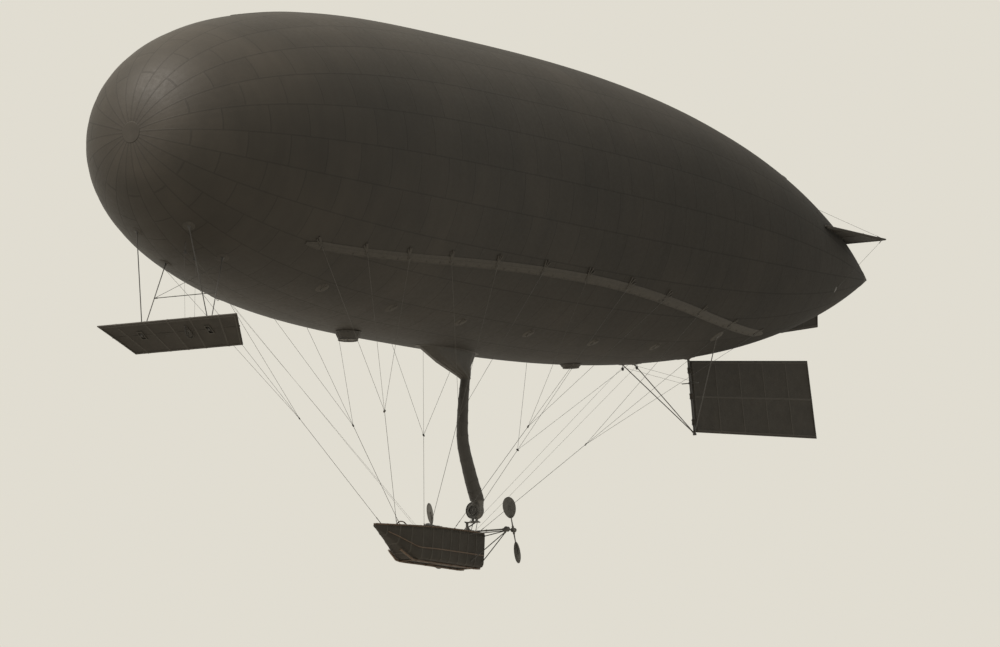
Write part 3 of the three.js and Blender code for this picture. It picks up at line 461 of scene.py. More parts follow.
def strapOnHull(bm, start, direction, length, width, height, steps=5, tip=1.0):
    rings = []
    for i in range(steps + 1):
        middle = pressed(start + direction * (length * i / steps))
        normal = normalAt(middle)
        across = direction.cross(normal).normalized() * width / 2 * (1 + (tip - 1) * i / steps)
        rings.append([middle + across * a + normal * b
                      for a, b in tapeSection(-0.02, height * 0.7, height, 0.85)])
    loft(bm, rings)


# three straps that spread like fingers
def fingers(bm, start, way, axis, angle, length, width, height, tip):
    for turn in (-angle, 0, angle):
        strapOnHull(bm, start, Matrix.Rotation(math.radians(turn), 3, axis) @ way, length, width, height,
                    tip=tip)


def buildBand(side, word):
    bm = bmesh.new()
    half, aft, span, steps = band["half"], band["aft"], band["fore"] - band["aft"], band["steps"]
    stations = [aft + span * i / steps for i in range(steps + 1)]
    section = mirrored([(0.032, 0.020), (0.036, 0.014), (half - 0.008, 0.014), (half, 0.009), (half, -0.02)])
    loft(bm, [[onBand(side, x, across * bandTaper(x), height) for across, height in section]
              for x in stations])
    tube(bm, [onBand(side, x, -(half + 0.004) * bandTaper(x), 0.010) for x in stations], 0.010, smooth=False)
    count = int(span / band["toggleEvery"])
    for i in range(1, count):                  # wooden toggles in loops of cord
        low, high = (onBand(side, aft + span * i / count, up - half, 0.017) for up in (0.015, 0.075))
        middle = (low + high) / 2
        turned(bm, mirrored([(0, 0.006), (0.012, 0.009), (0.032, 0.006), (0.034, 0)]), middle, axisX, 8)
        tube(bm, [low, middle + (high - low).normalized() * 0.004, high], 0.004)
    for row in stay["rows"]:
        for x in row[2:]:
            ring = onBand(side, x, 0, 0.030)
            toCar = (Vector((car["x"] + row[0], side * 0.5, -9.2)) - ring).normalized()
            up = -(toCar - toCar.project(hullNormal(x, angleOf(ring)))).normalized()
            fingers(bm, ring, up, ring.normalized(), 28, 0.34, 0.05, 0.026, 0.7)
            strapOnHull(bm, ring - up * 0.05, up, 0.12, 0.10, 0.030, 3)
    dress(f"rigging_band_{word}_web", bm, "webbing", stands=f"rigging_band_{word}")


for side, word in bothSides:
    buildBand(side, word)

print("stays")


def tubAt(x):
    rows = car["stations"]
    i = 0
    while i < len(rows) - 2 and rows[i + 1][0] < x:
        i += 1
    t = (x - rows[i][0]) / (rows[i + 1][0] - rows[i][0])
    return [a + (b - a) * t for a, b in zip(rows[i][1:], rows[i + 1][1:])]


def buckleAt(bm, start, way, length):
    end = length / 2
    turned(bm, mirrored([(0.02, 0.0085), (end - 0.05, 0.0115), (end - 0.032, 0.010), (end - 0.03, 0.004),
                         (end, 0.004)]), start + way * end, way, 10)


def buildStay(side, name, row):
    bm = bmesh.new()
    rimHalf, rim = tubAt(row[0])[0], tubAt(row[0])[3]
    wire, eye, plate = stay["wire"], stay["eye"], stay["plate"]
    foot = carOrigin + Vector((row[0], side * (rimHalf - row[1]), rim + 2 * car["rimTube"] + eye
                               + 2 * car["gap"]))
    tops = [onBand(side, x, 0, band["thick"] + eye + 0.003) for x in row[2:]]
    fork = foot.lerp(tops[1], stay["split"])
    way = (fork - foot).normalized()
    flat = (tops[0] - fork).cross(tops[2] - fork).normalized()
    along = axisY if row[1] > 0.1 else axisX
    hoop(bm, foot - axisZ * (eye + 0.025), along, 0.031, 0.004)
    hoop(bm, foot, along.cross(way), 0.016, 0.0045, 16, 6)
    buckleAt(bm, foot + way * 0.012, way, stay["buckle"])
    rod(bm, foot + way * (stay["buckle"] - 0.01), fork - way * 0.03, wire * 1.3, 6)
    turned(bm, mirrored([(0, plate), (0.003, plate - 0.002)]), fork, flat, 20)
    for end in (foot, *tops):
        turned(bm, mirrored([(0.009, 0.007)]), fork + (end - fork).normalized() * 0.03, flat, 8)
    for top in tops:
        line = (top - fork).normalized()
        rod(bm, fork + line * 0.028, top - line * 0.03, wire, 6)
        rod(bm, top - line * 0.16, top - line * 0.03, wire * 1.8, 6)
        hoop(bm, top - line * 0.004, line.cross(normalAt(top)), 0.024, 0.0045, 16, 6)
    dress(f"{name}_wires", bm, "steel_wire", stands=name)


for side, word in bothSides:
    for number, row in enumerate(stay["rows"], 1):
        buildStay(side, f"stay_{word}_{number}", row)

print("tail planes, rudder and elevator")

planes = {"thick": 0.031, "sag": 0.017, "tape": 0.026, "hem": 0.062, "stitch": 0.10, "lug": 1.1,
          "slotHalf": 0.06, "slotReach": 0.13}


def ladder(length, edge, cells):
    near = [edge * (1 - math.cos(math.pi / 2 * i / 4)) for i in range(4)]
    inside = [edge + (length - 2 * edge) * i / cells for i in range(cells + 1)]
    return [d / length for d in near + inside + [length - d for d in reversed(near)]]


# a cover stretched over edge tubes and ribs, hollow between them;
# trim takes the tapes over the ribs, the hems and the stitches
def cover(bm, trim, corners, ribs, cells, bars=()):
    a, b, c, d = (Vector(corner) for corner in corners)
    normal = (b - a).cross(d - a).normalized()
    wide, deep = ((b - a).length + (c - d).length) / 2, ((d - a).length + (c - b).length) / 2
    thick, tape = planes["thick"], planes["tape"]
    us, vs = ladder(wide, thick, cells[0]), ladder(deep, thick, cells[1])

    def hollow(t, lines):
        lines = [0.0, *lines, 1.0]
        i = max(k for k in range(len(lines) - 1) if lines[k] <= t or k == 0)
        part = (t - lines[i]) / (lines[i + 1] - lines[i])
        return (4 * part * (1 - part)) ** 0.6 if 0 < part < 1 else 0.0

    def middle(u, v):
        return a.lerp(b, u).lerp(d.lerp(c, u), v)

    def place(u, v):
        u, v = us[round(u * (len(us) - 1))], vs[round(v * (len(vs) - 1))]
        edge = min(u * wide, (1 - u) * wide, v * deep, (1 - v) * deep)
        rise = math.sqrt(max(0.0, 1 - (1 - min(1.0, edge / thick)) ** 2))
        return middle(u, v) + out * max(thick * rise - planes["sag"] * hollow(u, ribs) * hollow(v, bars), 0.0)

    lines = [(middle(u, 0.012), middle(u, 0.988), tape, thick) for u in ribs]
    lines += [(middle(0.012, v), middle(0.988, v), tape, thick + 0.0016) for v in bars]
    inU, inV = planes["hem"] / wide, planes["hem"] / deep
    ring = [middle(inU, inV), middle(1 - inU, inV), middle(1 - inU, 1 - inV), middle(inU, 1 - inV)]
    lines += [(p, q, tape * 0.8, thick + 0.0032 + 0.0012 * (i % 2))
              for i, (p, q) in enumerate(zip(ring, ring[1:] + ring[:1]))]
    for out in (normal, -normal):
        skin(bm, place, len(us) - 1, len(vs) - 1)
        for start, end, half, top in lines:
            along = (end - start).normalized()
            across = along.cross(normal) * half
            section = tapeSection(thick - 0.020, top - 0.001, top + 0.002, 0.8)
            loft(trim, [[start.lerp(end, i / 20) + across * s + out * h for s, h in section]
                        for i in range(21)])
            count = int((end - start).length / planes["stitch"])
            for i in range(1, count):
                for s in (-0.62, 0.62):
                    spot = start.lerp(end, i / count) + out * (top + 0.003) + across * s
                    rod(trim, spot - along * 0.012, spot + along * 0.012, 0.0022, 4)


tail = {"z": 0.78, "foreX": -12.25, "rearX": -15.5, "foreHalf": 2.18, "rearHalf": 2.1, "inner": (1.9, 0.5),
        "fin": [(-10.7, 0, -2.5), (-15.08, 0, -1.66), (-15.08, 0, -0.9), (-11.3, 0, -1.9)]}


def buildTail():
    trim = bmesh.new()
    z, foreX, rearX = tail["z"], tail["foreX"], tail["rearX"]
    for side, word in bothSides:
        bm = bmesh.new()
        cover(bm, trim, [(foreX, side * tail["inner"][0], z), (rearX, side * tail["inner"][1], z),
                         (rearX, side * tail["rearHalf"], z), (foreX, side * tail["foreHalf"], z)],
              [0.33, 0.62], (40, 20))
        dress(f"stabilizer_{word}_cover", bm, "dark_canvas", stands=f"stabilizer_{word}")
    bm = bmesh.new()
    cover(bm, trim, tail["fin"], [0.3, 0.57, 0.82], (40, 14))
    dress("tail_fin_cover", bm, "dark_canvas", stands="tail_fin")
    dress("tail_tapes", trim, "webbing")


rudder = {"top": Vector((-8.4, 0, -3.31)), "foot": Vector((-8.7, 0, -5.32)), "setback": 0.075,
          "rearTop": (-14.51, 0, -2.69), "rearFoot": (-15.0, 0, -4.9), "sleeves": (0.14, 0.5, 0.86),
          "post": 0.036, "sleeve": 0.06}


def buildRudder():
    bm, trim = bmesh.new(), bmesh.new()
    top, foot, back = rudder["top"], rudder["foot"], axisX * -rudder["setback"]
    cover(bm, trim, [top + back, rudder["rearTop"], rudder["rearFoot"], foot + back],
          [0.2, 0.4, 0.6, 0.8], (60, 24), [0.5])
    dress("rudder_tapes", trim, "webbing", body="rudder")
    out, inner = rudder["sleeve"], rudder["post"] + 0.005
    half = [(0.040, out - 0.008), (0.045, out), (0.070, out), (0.075, out - 0.012), (0.075, inner)]
    for part in rudder["sleeves"]:
        turned(bm, mirrored(half) + [(-0.075, inner)], top.lerp(foot, part), foot - top, 28)
    dress("rudder_cover", bm, "dark_canvas", body="rudder", stands="rudder")


elevator = {"hinge": Vector((15.7, 0, -5.04)), "pitch": 34.0, "fore": 0.49, "aft": 0.72, "foreHalf": 2.29,
            "aftHalf": 1.75, "ribs": (-1.7, -0.75, 0.0, 0.75, 1.7), "spar": 0.028, "frame": 0.03}


def buildElevator():
    bm, trim = bmesh.new(), bmesh.new()
    fore, aft, foreHalf, aftHalf = (elevator[word] for word in ("fore", "aft", "foreHalf", "aftHalf"))
    cover(bm, trim, [(fore, -foreHalf, 0), (fore, foreHalf, 0), (-aft, aftHalf, 0), (-aft, -aftHalf, 0)],
          [(y + foreHalf) / (2 * foreHalf) for y in elevator["ribs"]], (56, 18))
    bmesh.ops.remove_doubles(bm, verts=bm.verts, dist=1e-5)
    reach, wide, rim = planes["slotReach"], planes["slotHalf"], elevator["frame"]
    deep = planes["thick"] + 0.008
    # a slot with a frame for each lug of the hanger
    for lug in (planes["lug"], -planes["lug"]):
        for spot, way in ((axisX * reach, axisX), (-axisX * reach, axisX),
                          (axisY * (lug + wide), axisY), (axisY * (lug - wide), axisY)):
            near = [f for f in bm.faces if abs(f.calc_center_median().y - lug) < 0.4]
            around = {part for face in near for part in (*face.edges, *face.verts)}
            bmesh.ops.bisect_plane(bm, geom=[*near, *around], plane_co=spot, plane_no=way)
        gone = [f for f in bm.faces if abs(f.calc_center_median().y - lug) < wide
                and abs(f.calc_center_median().x) < reach]
        bmesh.ops.delete(bm, geom=gone, context="FACES")
        low, high = lug - wide, lug + wide
        for x0, y0, x1, y1 in ((reach, low - rim, reach + rim, high + rim), (-reach - rim, low - rim,
                                                                             -reach, high + rim),
                               (-reach, high, reach, high + rim), (-reach, low - rim, reach, low)):
            block(trim, (x0, y0, -deep), (x1, y1, deep), 0.004)
    block(trim, (-0.225, 0.41, -deep), (0.225, 0.49, deep), 0.008)  # a patch where the quadrant passes
    bmesh.ops.bridge_loops(bm, edges=[edge for edge in bm.edges if edge.is_boundary and edge.calc_length() > 0
                                      and abs(edge.verts[0].co.y) < 1.3])
    spar = foreHalf + (aftHalf - foreHalf) * fore / (fore + aft)
    rod(bm, axisY * -spar, axisY * spar, elevator["spar"], 12)
    where = Matrix.Translation(elevator["hinge"]) @ Matrix.Rotation(math.radians(-elevator["pitch"]), 4, "Y")
    for mesh in (bm, trim):
        bmesh.ops.transform(mesh, matrix=where, verts=mesh.verts)
    dress("elevator_tapes", trim, "webbing", body="elevator")
    dress("elevator_cover", bm, "dark_canvas", body="elevator", stands="elevator")


buildTail()
buildRudder()
buildElevator()

print("air trunk and hose")

# middle of each ring, half length and half width
trunk = {"rings": [(3.55, 0, -4.13, 1.52, 0.33), (3.10, 0, -4.60, 0.72, 0.245), (2.66, 0, -4.86, 0.27, 0.17),
                   (2.54, 0, -4.95, 0.14, 0.14)], "crease": 0.012, "flange": 0.13, "sides": 96}
hose = {"radiusTop": 0.135, "radiusFoot": 0.20, "hoopEvery": 0.30, "crease": 0.006,
        "route": [(2.54, 0, -4.951), (2.68, 0.02, -5.75), (2.72, 0.05, -6.7), (2.56, 0.16, -7.55),
                  (2.33, 0.25, -8.269)]}


def buildTrunk():
    bm, rings, sides = bmesh.new(), trunk["rings"], trunk["sides"]

    def place(u, v):
        spot = min(v, 0.99999) * (len(rings) - 1)
        i, part = int(spot), spot - int(spot)
        x, y, z, halfX, halfY = (p + (q - p) * part for p, q in zip(rings[i], rings[i + 1]))
        turn = fullTurn * u
        folds = math.sin(math.pi * v) * (math.sin(turn * 9 + 3 * v) + 0.6 * math.sin(turn * 17))
        fold = 1 + trunk["crease"] * folds / halfY
        return Vector((x + halfX * math.cos(turn) * fold, y + halfY * math.sin(turn) * fold, z))

    skin(bm, place, sides, 36)
    bmesh.ops.remove_doubles(bm, verts=bm.verts, dist=1e-5)
    bmesh.ops.smooth_vert(bm, verts=[v for v in bm.verts if not v.is_boundary], factor=0.5, use_axis_x=True,
                          use_axis_y=True, use_axis_z=True)
    hoop(bm, (2.54, 0, -4.925), axisZ, 0.146, 0.010, 32)

    def flange(u, v):
        point = seam[round(u * sides)]
        away = Vector((point.x - 3.3, point.y, 0)).normalized()
        wide = trunk["flange"] * (1 + 0.12 * math.cos(u * 64 * math.pi))
        return pressed(point + away * (wide * v - 0.02), 0.010 if v < 0.95 else -0.004)

    seam = [hullHit(lambda t: place(i / sides, t), 0.6) for i in range(sides + 1)]
    skin(bm, flange, sides, 6)
    dress("air_trunk_cloth", bm, "canvas_air", stands="air_trunk", smooth=60)


# where a way that starts within the hull leaves it
def hullHit(way, far, steps=20):
    low, high = 0.0, far
    for _ in range(steps):
        point = way((low + high) / 2)
        if math.hypot(point.y, point.z) < hullRadius(point.x):
            low = (low + high) / 2
        else:
            high = (low + high) / 2
    return way(high)


def buildHose():
    bm, route = bmesh.new(), hose["route"]
    length = sum((through(route, (i + 1) / 60) - through(route, i / 60)).length for i in range(60))
    bays = round(length / hose["hoopEvery"])

    def section(v):
        way = through(route, min(1.0, v + 0.01)) - through(route, max(0.0, v - 0.01))
        if v < 0.02 or v > 0.98:
            way = -axisZ
        across = axisY.cross(way).normalized()
        radius = hose["radiusTop"] + (hose["radiusFoot"] - hose["radiusTop"]) * v
        return through(route, v), way.normalized(), across, way.cross(across).normalized(), radius

    def place(u, v):
        centre, _, across, other, radius = section(v)
        turn, bay = fullTurn * u, (v * bays) % 1.0
        folds = 0.5 + 0.5 * math.sin(turn * 7 + 5 * math.floor(v * bays))
        radius -= hose["crease"] * math.sin(math.pi * bay) ** 0.7 * (0.6 + folds)
        return centre + (across * math.cos(turn) + other * math.sin(turn)) * radius

    skin(bm, place, 48, bays * 10)
    for i in range(bays + 1):
        centre, way, _, _, radius = section(i / bays)
        hoop(bm, centre, way, radius - 0.001, 0.006, 32, 6)
    dress("air_hose_cloth", bm, "canvas_air", stands="air_hose", smooth=60)
    print("hose length", round(length, 3))


buildTrunk()
buildHose()

print("car")


# a point on the bow from a to c that b pulls out
def bend(a, b, c, t):
    return a * (1 - t) ** 2 + b * 2 * t * (1 - t) + c * t * t


# the tub's cross section from rim to keel on one side, rounded at the bilge: (out, up)
def halfSection(x, inset=0.0, lift=0.0):
    near = [tubAt(min(max(x + d, -0.31), 4.17)) for d in (-0.12, 0, 0, 0.12)]
    rimHalf, bottomHalf, bottom, rimTop = (sum(values) / 4 for values in zip(*near))
    wide, narrow, low, high = rimHalf - inset, bottomHalf - inset, bottom + inset, rimTop + lift
    bilge = min(0.11, narrow * 0.5, (high - low) * 0.4)
    top, foot = Vector((wide, high)), Vector((narrow + bilge * 0.15, low + bilge))
    bulge = Vector(((wide + narrow) / 2 + 0.014 * narrow / 0.46, (low + high) / 2))
    corner, inner, keel = Vector((narrow + bilge * 0.02, low)), Vector((narrow - bilge, low)), Vector((0,
                                                                                                       low))
    points = [bend(top, bulge * 2 - (top + foot) / 2, foot, i / 9) for i in range(9)]
    return points + [bend(foot, corner, inner, i / 4) for i in range(5)] + [(inner + keel) / 2, keel]


def fullSection(x, inset=0.0, lift=0.0):
    half = halfSection(x, inset, lift)
    return [Vector((x, -y, z)) for y, z in half] + [Vector((x, y, z)) for y, z in reversed(half[:-1])]


# a strip along both sides of the tub that follows one point of its section
def strip(bm, low, high, steps, inset, row, section):
    for side in (1, -1):
        rings = []
        for i in range(steps + 1):
            x = low + (high - low) * i / steps
            y, z = halfSection(x, inset)[row]
            rings.append([(x, side * (y + a), z + b) for a, b in section])
        loft(bm, rings)


# a piece built in the car's own coordinates, moved to its place
def carPiece(name, bm, slot, make=dress, **how):
    bmesh.ops.translate(bm, vec=carOrigin, verts=bm.verts)
    make(name, bm, slot, **how)


def buildShell():
    bm = bmesh.new()
    stern, bow, frames = car["stations"][0][0], car["stations"][-1][0], car["frames"]
    rows = len(fullSection(0)) - 1

    def place(u, v):
        bay = math.sin(math.pi * ((u * frames) % 1.0)) ** 2 * math.sin(math.pi * abs(2 * v - 1))
        inset = car["sag"] * bay * min(1.0, (1 - u) * 4)
        return fullSection(stern + (bow - stern) * u, inset)[round(v * rows)]

    skin(bm, place, frames * 8, rows)
    bmesh.ops.recalc_face_normals(bm, faces=bm.faces)
    bmesh.ops.solidify(bm, geom=bm.faces[:], thickness=0.007)
    for x, inward in ((stern, 0.008), (bow, -0.008)):
        ring = fullSection(x, 0.0006)
        loft(bm, [ring, [point + axisX * inward for point in ring]])
    carPiece("car_cover", bm, "dark_canvas", stands="car_shell", smooth=50)
    bm = bmesh.new()
    for i in range(frames):
        x = stern + 0.012 + (bow - stern) * i / frames
        outer, inner = fullSection(x, 0.008, -0.004), fullSection(x, car["wall"], -0.004)
        loft(bm, [[a, b, b + axisX * 0.02, a + axisX * 0.02] for a, b in zip(outer, inner)])
    for row in (2, 5, 8):
        strip(bm, stern + 0.01, bow - 0.29, 48, 0.019, row,
              ((-0.007, -0.011), (0.007, -0.011), (0.007, 0.011), (-0.007, 0.011)))
    carPiece("car_frames", bm, "varnished_wood", smooth=30)


buildShell()

rim = {"ends": (-0.288, 4.15), "tube": 0.023, "lashEvery": 0.36, "cross": (-0.288, 1.43)}


def rimPoint(x, side):
    rimHalf, _, _, top = tubAt(x)
    return Vector((x, side * max(rimHalf - 0.016, 0.014), top + car["rimTube"] + car["gap"]))


def buildRim():
    bm = bmesh.new()
    low, high = rim["ends"]
    count = int((high - low) / rim["lashEvery"])
    for side in (1, -1):
        rail(bm, [rimPoint(low + (high - low) * i / 70, side) for i in range(71)], 0.046, 0.046, 0.6)
        for i in range(1, count):
            x = low + (high - low) * i / count
            way = rimPoint(x + 0.01, side) - rimPoint(x - 0.01, side)
            for k in range(4):
                hoop(bm, rimPoint(x + (k - 1.5) * 0.008, side), way, 0.0245, 0.004, 14, 5)
    for x in rim["cross"]:
        half, thick = tubAt(x)[0] - 0.035, rim["tube"] * 0.85
        turned(bm, mirrored([(half * 0.9, thick), (half, thick * 0.7)]), (x, 0, rimPoint(x, 1).z), axisY, 14)
    carPiece("rim_rail", bm, "varnished_wood", stands="car_rim", smooth=50)


tubTrim = {"eyeletEvery": 0.085, "drop": 0.055, "tape": 0.02, "strake": 6, "ends": (-0.29, 3.75),
           "rivets": 27}


# tapes over the frames, a rub rail along each side and the lacing between cover and rim
def buildTubTrim():
    tapes, cord, wood = bmesh.new(), bmesh.new(), bmesh.new()
    low, high = tubTrim["ends"]
    stern, bow, frames = car["stations"][0][0], car["stations"][-1][0], car["frames"]
    for i in range(1, frames):
        x = stern + 0.022 + (bow - stern) * i / frames
        loft(tapes, list(zip(*[fullSection(x + a * tubTrim["tape"], out)
                               for a, out in tapeSection(0.004, -0.0035, -0.006, 0.8)])))
    strip(wood, low, high, 80, -0.002, tubTrim["strake"], ((-0.004, -0.016), (0.010, -0.016),
                                                           (0.014, -0.010), (0.014, 0.010), (0.010, 0.016),
                                                           (-0.004, 0.016)))
    count = int((high - low) / tubTrim["eyeletEvery"])
    for side in (1, -1):
        for i in range(1, tubTrim["rivets"]):
            x = low + (high - low) * i / tubTrim["rivets"]
            y, z = halfSection(x, -0.002)[tubTrim["strake"]]
            rod(wood, (x, side * (y + 0.012), z), (x, side * (y + 0.017), z), 0.006, 6)
        lace = []
        for i in range(count + 1):
            x = low + (high - low) * i / count
            (y, z), (lowY, lowZ) = halfSection(x, -0.003)[:2]
            part = min(1.0, tubTrim["drop"] / max(z - lowZ, 0.01))
            eyelet = Vector((x, side * (y + (lowY - y) * part), z + (lowZ - z) * part))
            turned(cord, [(0, 0.005), (0, 0.010), (0.003, 0.010), (0.004, 0.005), (0, 0.005)], eyelet,
                   axisY * side, 12)
            over = rimPoint(x + (high - low) / count / 2, side) + Vector((0, side * 0.026, 0.004))
            lace += [eyelet + axisY * side * 0.003, over]
        tube(cord, lace, 0.0032, 6, smooth=False)
    for z in (0.30, 0.52, 0.74):
        block(wood, (-0.322, -0.36, z - 0.014), (-0.308, 0.36, z + 0.014), 0.004)
    carPiece("tub_tapes", tapes, "webbing")
    carPiece("tub_lacing", cord, "webbing")
    carPiece("tub_rails", wood, "varnished_wood", smooth=30)


floorBoards = {"from": -0.25, "to": 2.68, "board": 0.086, "gap": 0.007, "low": 0.053, "high": 0.074,
               "joists": (-0.21, 0.2, 0.9, 1.6, 2.3)}


def floorHalf(x):
    return tubAt(x)[1] - car["wall"] - 0.1


def buildFloor():
    bm = bmesh.new()
    start, half = floorBoards["from"], floorBoards["board"] / 2
    places = [start + 0.01 * i for i in range(round((floorBoards["to"] - start) * 100) + 1)]
    for k in range(-4, 5):
        y = k * (floorBoards["board"] + floorBoards["gap"])
        reach = [x for x in places if floorHalf(x) >= abs(y) + half - 0.012]
        if reach:
            block(bm, (reach[0], y - half, floorBoards["low"]), (reach[-1], y + half, floorBoards["high"]),
                  0.003)
    for x in floorBoards["joists"]:
        wide = floorHalf(x) - 0.025
        block(bm, (x, -wide, 0.029), (x + 0.06, wide, 0.0535), 0.003)
    carPiece("floor_boards", bm, "varnished_wood", stands="car_floor", smooth=30)


skids = {"y": 0.27, "z": -0.027, "cross": (-0.1, 1.4, 2.6), "blocks": (0.25, 0.95, 2.0)}


def buildSkids():
    bm = bmesh.new()
    y, z = skids["y"], skids["z"]
    for side in (1, -1):
        route = [(-0.36, side * y, -0.014), (0, side * y, z), (1.5, side * y, z), (2.65, side * y, z),
                 (2.98, side * y * 0.88, 0.075), (3.25, side * y * 0.72, 0.215)]
        points = [through(route, i / 60) for i in range(61)]
        rail(bm, points, 0.050, 0.046, 0.5)
        rail(bm, [point - axisZ * 0.024 for point in points[2:44]], 0.030, 0.006, 0.4)
        for x in (*skids["cross"], *skids["blocks"]):
            for k in range(3):
                hoop(bm, (x + 0.03 + 0.009 * k, side * y, z), axisX, 0.029, 0.0042, 14, 5)
    for x in skids["cross"]:
        rod(bm, (x, -y, z + 0.002), (x, y, z + 0.002), 0.018, 12)
    carPiece("skid_runners", bm, "varnished_wood", stands="car_skids", smooth=45)


buildRim()
buildTubTrim()
buildFloor()
buildSkids()

print("propellers")

propeller = {"x": -0.46, "side": 1.32, "z": 0.99, "radius": 0.93, "root": 0.34, "half": 0.231,
             "pitch": 28.0, "lean": 12.0, "arm": 0.021, "hub": 0.062, "length": 0.14, "thick": 0.006,
             "camber": 0.016, "rivets": 9}
outrig = {"x": -0.15, "case": 0.07, "strut": 0.0135, "shaft": 0.028,
          "roots": [(0.42, 0.44, 0.85), (-0.27, 0.40, 0.85), (0.30, 0.38, 0.12), (-0.25, 0.36, 0.13)]}


def buildPropeller(side, name):
    bm = bmesh.new()
    root, radius, half, arm = (propeller[word] for word in ("root", "radius", "half", "arm"))
    turn = Matrix.Rotation(math.radians(propeller["pitch"] * side), 3, "Z")

    def place(u, t):
        s, back = 2 * u - 1, 1 - t
        wide = back ** 3 * 0.03 + 3 * half * t * back
        out = back ** 3 * root + 3 * (root + 0.1) * t * back ** 2 + radius * t * t * (3 * back + t)
        return Vector((propeller["camber"] * (s * s - 0.5), wide * s, out))

    skin(bm, place, 14, 22)
    bmesh.ops.rotate(bm, verts=bm.verts, cent=(0, 0, 0), matrix=turn)
    # the faces still have the flat grid's normals, so this sets the second sheet along the blade, not off it
    bmesh.ops.solidify(bm, geom=bm.faces[:], thickness=propeller["thick"])
    rod(bm, (0, 0, 0), (0, 0, radius * 0.74), arm, 14, arm * 0.45)
    for k in range(propeller["rivets"]):
        at = root + 0.05 + (radius * 0.72 - root - 0.05) * k / (propeller["rivets"] - 1)
        for s in (-1, 1):
            ball(bm, turn @ Vector((0.004, s * 0.034, at)), 0.0075, 3)
    turned(bm, [(0.05, arm + 0.002), (0.055, arm + 0.010), (0.11, arm + 0.010), (0.12, arm + 0.002)],
           (0, 0, 0), axisZ, 16)
    other = bmesh.ops.duplicate(bm, geom=[*bm.verts, *bm.edges, *bm.faces])["geom"]
    bmesh.ops.rotate(bm, verts=[item for item in other if isinstance(item, bmesh.types.BMVert)],
                     cent=(0, 0, 0), matrix=Matrix.Rotation(math.pi, 3, "X"))
    hub, end = propeller["hub"], propeller["length"] / 2
    turned(bm, [(-end - 0.04, 0), (-end - 0.036, 0.012), (-end - 0.02, 0.034), (-end, hub * 0.82),
                (-end + 0.004, hub), (-0.02, hub), (-0.016, hub - 0.01), (0.016, hub - 0.01), (0.02, hub),
                (end - 0.016, hub), (end - 0.011, hub - 0.008)], (0, 0, 0), axisX, 32)
    bolts(bm, (0, 0, 0), axisX, axisY, 0.044, 8, -end - 0.006, -end + 0.01, 0.007, 0.2)
    where = Matrix.Translation((propeller["x"], side * propeller["side"], propeller["z"]))
    bmesh.ops.transform(bm, matrix=where @ Matrix.Rotation(math.radians(propeller["lean"]), 4, "X"),
                        verts=bm.verts)
    carPiece(f"{name}_paddles", bm, "dull_aluminium", body=name, stands=name)


def buildOutrigger(side, name):
    bm = bmesh.new()
    hub = Vector((outrig["x"], side * propeller["side"], propeller["z"]))
    out, strut, shaft = outrig["case"], outrig["strut"], outrig["shaft"]
    turned(bm, [(-0.10, 0.044), (-0.085, 0.048), (-0.06, out - 0.004), (-0.052, out + 0.001),
                (-0.036, out + 0.001), (-0.032, out - 0.006), (0.032, out - 0.006), (0.036, out + 0.001),
                (0.052, out + 0.001), (0.06, out - 0.006), (0.10, 0.042)], hub, axisX, 32)
    for x in (-0.062, 0.054):
        bolts(bm, hub, axisX, axisY, 0.058, 8, x, x + 0.012)
    turned(bm, [(-0.235, shaft), (-0.215, shaft), (-0.212, 0.021), (-0.13, 0.021), (-0.12, shaft + 0.004),
                (-0.09, shaft + 0.01)], hub, axisX, 24)
    top = hub - axisZ * 0.04
    for x, y, z in outrig["roots"]:
        foot = Vector((x, side * (y + 0.055), z))
        way = (top - foot).normalized()
        rod(bm, foot, top, strut, 14)
        turned(bm, [(0, strut), (0.004, strut + 0.006), (0.05, strut + 0.006), (0.06, strut)], foot, way, 14)
        turned(bm, [(-0.10, strut), (-0.094, strut + 0.005), (-0.055, strut + 0.005)], top, way, 14)
        turned(bm, [(0, 0.034), (0.006, 0.034), (0.008, 0.020), (0.018, 0.018)], (x, side * (y + 0.052), z),
               axisY * side, 16)
    carPiece(f"{name}_struts", bm, "black_tube", stands=name)


for side, word in bothSides:
    buildPropeller(side, f"propeller_{word}")
    buildOutrigger(side, f"outrigger_{word}")

print("seats and controls")

seats = {"rows": [("seat_rear", 1.44, 0.33), ("seat_front", 2.18, 0.32)], "top": 0.43, "depth": 0.33,
         "slats": 4, "back": 0.76}


def buildSeats():
    top, depth, back = seats["top"], seats["depth"], seats["back"]
    for name, x, half in seats["rows"]:
        bm = bmesh.new()
        pitch = (depth - 0.012) / seats["slats"]
        for k in range(seats["slats"]):
            low = x + 0.012 + k * pitch
            block(bm, (low, -half, top - 0.02), (low + pitch - 0.012, half, top), 0.005)
        for y in (-half + 0.03, half - 0.06):
            block(bm, (x + 0.01, y, top - 0.052), (x + depth - 0.01, y + 0.03, top - 0.02), 0.003)
            for front in (x + 0.012, x + depth - 0.055):
                block(bm, (front, y, 0.075), (front + 0.035, y + 0.03, top - 0.05), 0.004)
            block(bm, (x + 0.03, y + 0.006, 0.17), (x + depth - 0.04, y + 0.024, 0.20), 0.003)
            rod(bm, (x - 0.002, y + 0.015, top - 0.04), (x - 0.012, y + 0.015, back - 0.02), 0.014, 10)
        for low, high in ((0.52, 0.59), (0.62, 0.69), (0.715, back)):
            rail(bm, [Vector((x - 0.004 - 0.012 * math.sin(math.pi * i / 12), half * (i / 6 - 1),
                              (low + high) / 2)) for i in range(13)], 0.012, high - low, 0.5)
        carPiece(f"{name}_slats", bm, "varnished_wood", stands=name, smooth=30)


